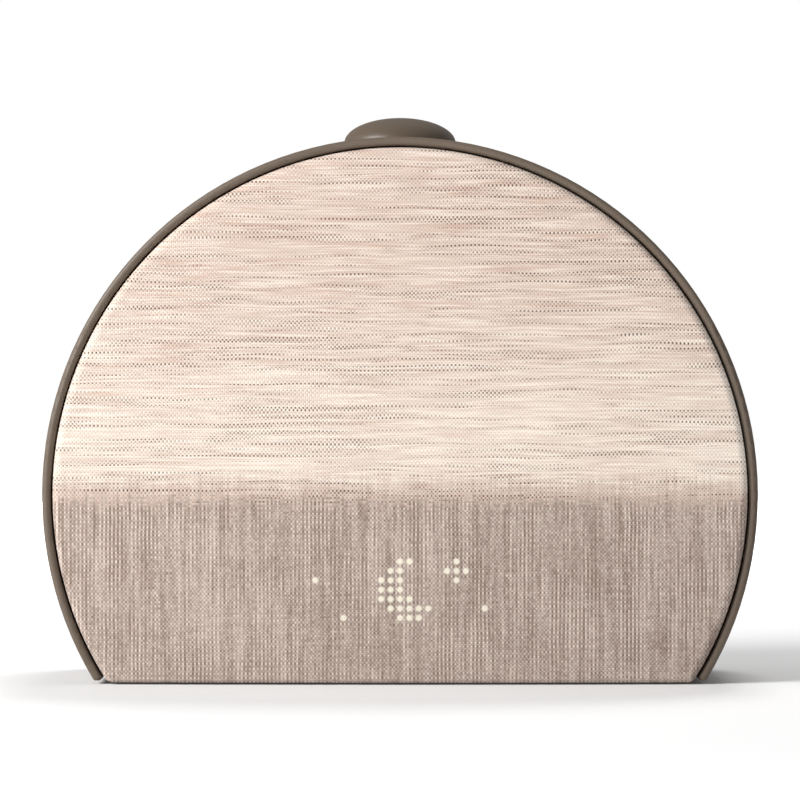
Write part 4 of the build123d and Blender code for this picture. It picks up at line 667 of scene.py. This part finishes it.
# %% Finish of each material slot
FINISHES = {
    "housing": moulded("satin_taupe_plastic", (100, 87, 75), 0.5, 0.55, 0.012, 0.04, 0.4),
    "button": moulded("button_taupe_plastic", (88, 76, 64), 0.38, 0.45, 0.010, 0.04, 0.5),
    "knob": moulded("knob_taupe_plastic", (108, 94, 81), 0.45, 0.45, 0.012, 0.04, 0.5),
    "carrier": moulded("carrier_plastic", (160, 146, 132), 0.55, 0.8, 0.02),
    "opal": moulded("opal_plastic", (236, 230, 216), 0.35, 1.2, 0.008, 0.02),
    "white_plastic": moulded("white_plastic", (226, 224, 218), 0.4, 0.8, 0.012, 0.02),
    "black_plastic": moulded("black_plastic", (34, 33, 33), 0.5, 0.7, 0.02, 0.12),
    "rubber": moulded("foot_rubber", (58, 54, 51), 0.75, 0.5, 0.05, 0.1, 0.3),
    "silicone": moulded("silicone_dome", (196, 190, 182), 0.5, 0.9, 0.01, 0.03),
    "foam": moulded("gasket_foam", (46, 46, 48), 0.95, 0.5, 0.15, 0.2, 0.15),
    "cone": moulded("paper_cone", (38, 37, 36), 0.8, 0.6, 0.06, 0.25, 0.2),
    "spider": moulded("doped_cloth", (190, 140, 74), 0.75, 0.5, 0.08, 0.15, 0.2),
    "ferrite": moulded("ferrite", (52, 52, 55), 0.55, 0.6, 0.03, 0.15, 0.4),
    "chip": moulded("chip_epoxy", (30, 30, 32), 0.5, 0.3, 0.01, 0.1, 0.4),
    "capacitor": moulded("capacitor_sleeve", (28, 40, 74), 0.3, 1.5, 0.004, 0.06, 0.5),
    "lamp": moulded("lamp_resin", (244, 236, 206), 0.25, 0.6, 0.004, 0.03, 0.5),
    "ribbon": moulded("ribbon_film", (206, 160, 88), 0.35, 1.0, 0.006, 0.05, 0.5),
    "wire": moulded("wire_sleeve", (150, 32, 30), 0.4, 0.8, 0.006, 0.06, 0.5),
    "fabric": linen,
    "black_metal": plated("blackened_steel", (44, 42, 41), 0.5),
    "copper": plated("copper_winding", (196, 112, 66), 0.3),
    "steel": plated("zinc_plated_steel", (190, 190, 188), 0.3),
}


# %% [markdown]
# The circuit boards get a material of their own: green solder resist over copper tracks. The tracks run
# level in some places and upright in others, as a slow noise decides, which looks like wiring from a hand's
# breadth.


# %% Circuit board
TRACK_PITCH = 1.3
TRACK_EDGE = (0.9, 0.95)
BLOCK_EDGE = (0.45, 0.5)


def board_material():
    """Solder resist with straight copper tracks: bars where the sine of x (or of z), with a half wave of
    TRACK_PITCH millimetres, is near 1 or -1. A slow noise chooses between the two directions."""
    material, nodes, shader = new_material("circuit_board")
    place = object_place(nodes)
    axes = nodes.new("ShaderNodeSeparateXYZ")
    nodes.id_data.links.new(place.socket, axes.inputs[0])
    x, z = Wire(nodes, axes.outputs[0]), Wire(nodes, axes.outputs[2])
    line_x = (x * (math.pi / TRACK_PITCH)).sine().size().between(*TRACK_EDGE)
    line_z = (z * (math.pi / TRACK_PITCH)).sine().size().between(*TRACK_EDGE)
    upright = noise(nodes, object_place(nodes, 0.12), 1.0, 1.0).between(*BLOCK_EDGE)
    tracks = line_x * upright + line_z * (upright * -1.0 + 1.0)
    plug(nodes, mix(nodes, tracks, linear(18, 74, 48), linear(38, 108, 66)), shader.inputs["Base Color"])
    plug(nodes, noise(nodes, object_place(nodes, 0.5), 1.0, 2.0) * 0.2 + 0.25, shader.inputs["Roughness"])
    raise_surface(nodes, shader, tracks, 0.03 * MM, 0.7)
    return material


FINISHES["board"] = board_material()
print("finishes:", len(FINISHES))

# %% Put the finishes on
slot_of_node = {part["node"]: part["material_slot"] for part in frame["record"]["subparts"]}
for node_name, node in frame["nodes"].items():
    finish = FINISHES[slot_of_node[node_name]]
    for index in range(len(node.material_slots)):
        node.material_slots[index].material = finish
soft_dome.data.materials.clear()
soft_dome.data.materials.append(FINISHES["silicone"])
print("finished nodes:", len(slot_of_node))

# %% [markdown]
# ## The studio
#
# The speaker stands on a wide white floor under an even white sky. A large soft lamp at the left does
# most of the work: it brightens the left side of the rim and leaves the right side dark, and because the
# cloth swells, it also makes the left of the cloth a little lighter than the right. A lamp high up behind
# lays a soft shadow in front of the base, and a low one keeps the rear from going dark. The floor itself
# shines a little more the farther it is from the speaker, so that it melts into the sky without a grey line.


# %% White floor
def floor_disc(radius=7.0, rings=28, spokes=72):
    """Rings of points round the origin on z = 0; ring k has radius R (k / n) squared, so they are close
    together near the speaker. The first ring leaves a hole of a few millimetres that the foot covers."""
    first = 0.02
    reach = radius * np.linspace(first, 1, rings)[:, None] ** 2
    angle = np.linspace(0, 2 * math.pi, spokes, endpoint=False)
    points = np.stack([reach * np.cos(angle), reach * np.sin(angle), np.zeros((rings, spokes))], axis=-1)
    return points.reshape(-1, 3), grid_faces(rings, spokes, True)


floor_xyz, floor_faces = floor_disc()
studio_floor = make_piece("studio_floor", floor_xyz, floor_faces)
floor_finish, floor_nodes, floor_shader = new_material("white_floor")
floor_tone = noise(floor_nodes, object_place(floor_nodes, 0.002), 1.0, 2.0)
plug(floor_nodes, mix(floor_nodes, floor_tone, linear(230, 230, 230), linear(233, 233, 233)),
     floor_shader.inputs["Base Color"])
floor_shader.inputs["Roughness"].default_value = 0.95
floor_shader.inputs["Specular IOR Level"].default_value = 0.0
floor_shader.inputs["Emission Color"].default_value = (1.0, 1.0, 1.0, 1.0)
GLOW_REACH = (0.25, 1.3)
NEAR_GLOW = 0.03
FAR_GLOW = 0.9
floor_distance = floor_nodes.new("ShaderNodeVectorMath")
floor_distance.operation = "LENGTH"
plug(floor_nodes, object_place(floor_nodes, MM), floor_distance.inputs[0])
far_off = Wire(floor_nodes, floor_distance.outputs["Value"]).between(*GLOW_REACH)
plug(floor_nodes, far_off * FAR_GLOW + NEAR_GLOW, floor_shader.inputs["Emission Strength"])
studio_floor.data.materials.append(floor_finish)


# %% Lamps
def soft_lamp(name, place, target, size, power, mirrored=True):
    """A square area lamp at a place, turned towards a target. One that isn't mirrored gives light but no
    highlight."""
    lamp = bpy.data.lights.new(name, "AREA")
    lamp.shape = "SQUARE"
    lamp.size = size
    lamp.energy = power
    holder = bpy.data.objects.new(name, lamp)
    bpy.context.scene.collection.objects.link(holder)
    holder.location = place
    holder.visible_glossy = mirrored
    holder.rotation_euler = (Vector(target) - Vector(place)).to_track_quat("-Z", "Y").to_euler()
    print(f"{name}: {power} W, {size} m")


MIDDLE = (0.0, 0.0, 0.08)
soft_lamp("key_lamp", (-1.35, -0.92, 0.85), MIDDLE, 0.8, 43.0)
soft_lamp("top_lamp", (0.25, 1.15, 1.75), MIDDLE, 0.7, 20.0, mirrored=False)
soft_lamp("rear_lamp", (-0.3, 2.2, 0.5), MIDDLE, 1.0, 16.0, mirrored=False)

# %% [markdown]
# The sky is white to the camera and weaker to the speaker. Without this difference either the background
# would be grey or the speaker would be lit evenly from all sides and look flat.

# %% Sky
sky = bpy.data.worlds.new("studio_sky")
bpy.context.scene.world = sky
sky.use_nodes = True
sky_nodes = sky.node_tree.nodes
background = sky_nodes["Background"]
background.inputs["Color"].default_value = (1.0, 1.0, 1.0, 1.0)
SKY_SEEN = 1.0
SKY_LIGHT = 0.28
path = sky_nodes.new("ShaderNodeLightPath")
seen = Wire(sky_nodes, path.outputs["Is Camera Ray"])
plug(sky_nodes, seen * (SKY_SEEN - SKY_LIGHT) + SKY_LIGHT, background.inputs["Strength"])
print(f"sky: {SKY_SEEN} to the camera, {SKY_LIGHT} to the speaker")

# %% [markdown]
# ## The camera
#
# A long lens from a little over a metre looks level at the speaker, as in a catalogue picture. The lens
# follows from the width of the scene at the rim and the distance: focal length over sensor width is
# distance over scene width.

# %% Camera
SENSOR = 36.0
RIM_Y = -41.5 * MM
DISTANCE = 1.3
SCENE_WIDTH = 226.8 * MM
VIEW_HEIGHT = 80.6 * MM

camera_data = bpy.data.cameras.new("camera")
camera_data.sensor_width = SENSOR
camera_data.lens = SENSOR * DISTANCE / SCENE_WIDTH
camera_data.clip_start = 0.01
camera = bpy.data.objects.new("camera", camera_data)
bpy.context.scene.collection.objects.link(camera)
camera.location = (0.0, RIM_Y - DISTANCE, VIEW_HEIGHT)
camera.rotation_euler = (math.pi / 2, 0.0, 0.0)
bpy.context.scene.camera = camera
bpy.context.scene.view_settings.view_transform = "Standard"
print(f"lens {camera_data.lens:.0f} mm")
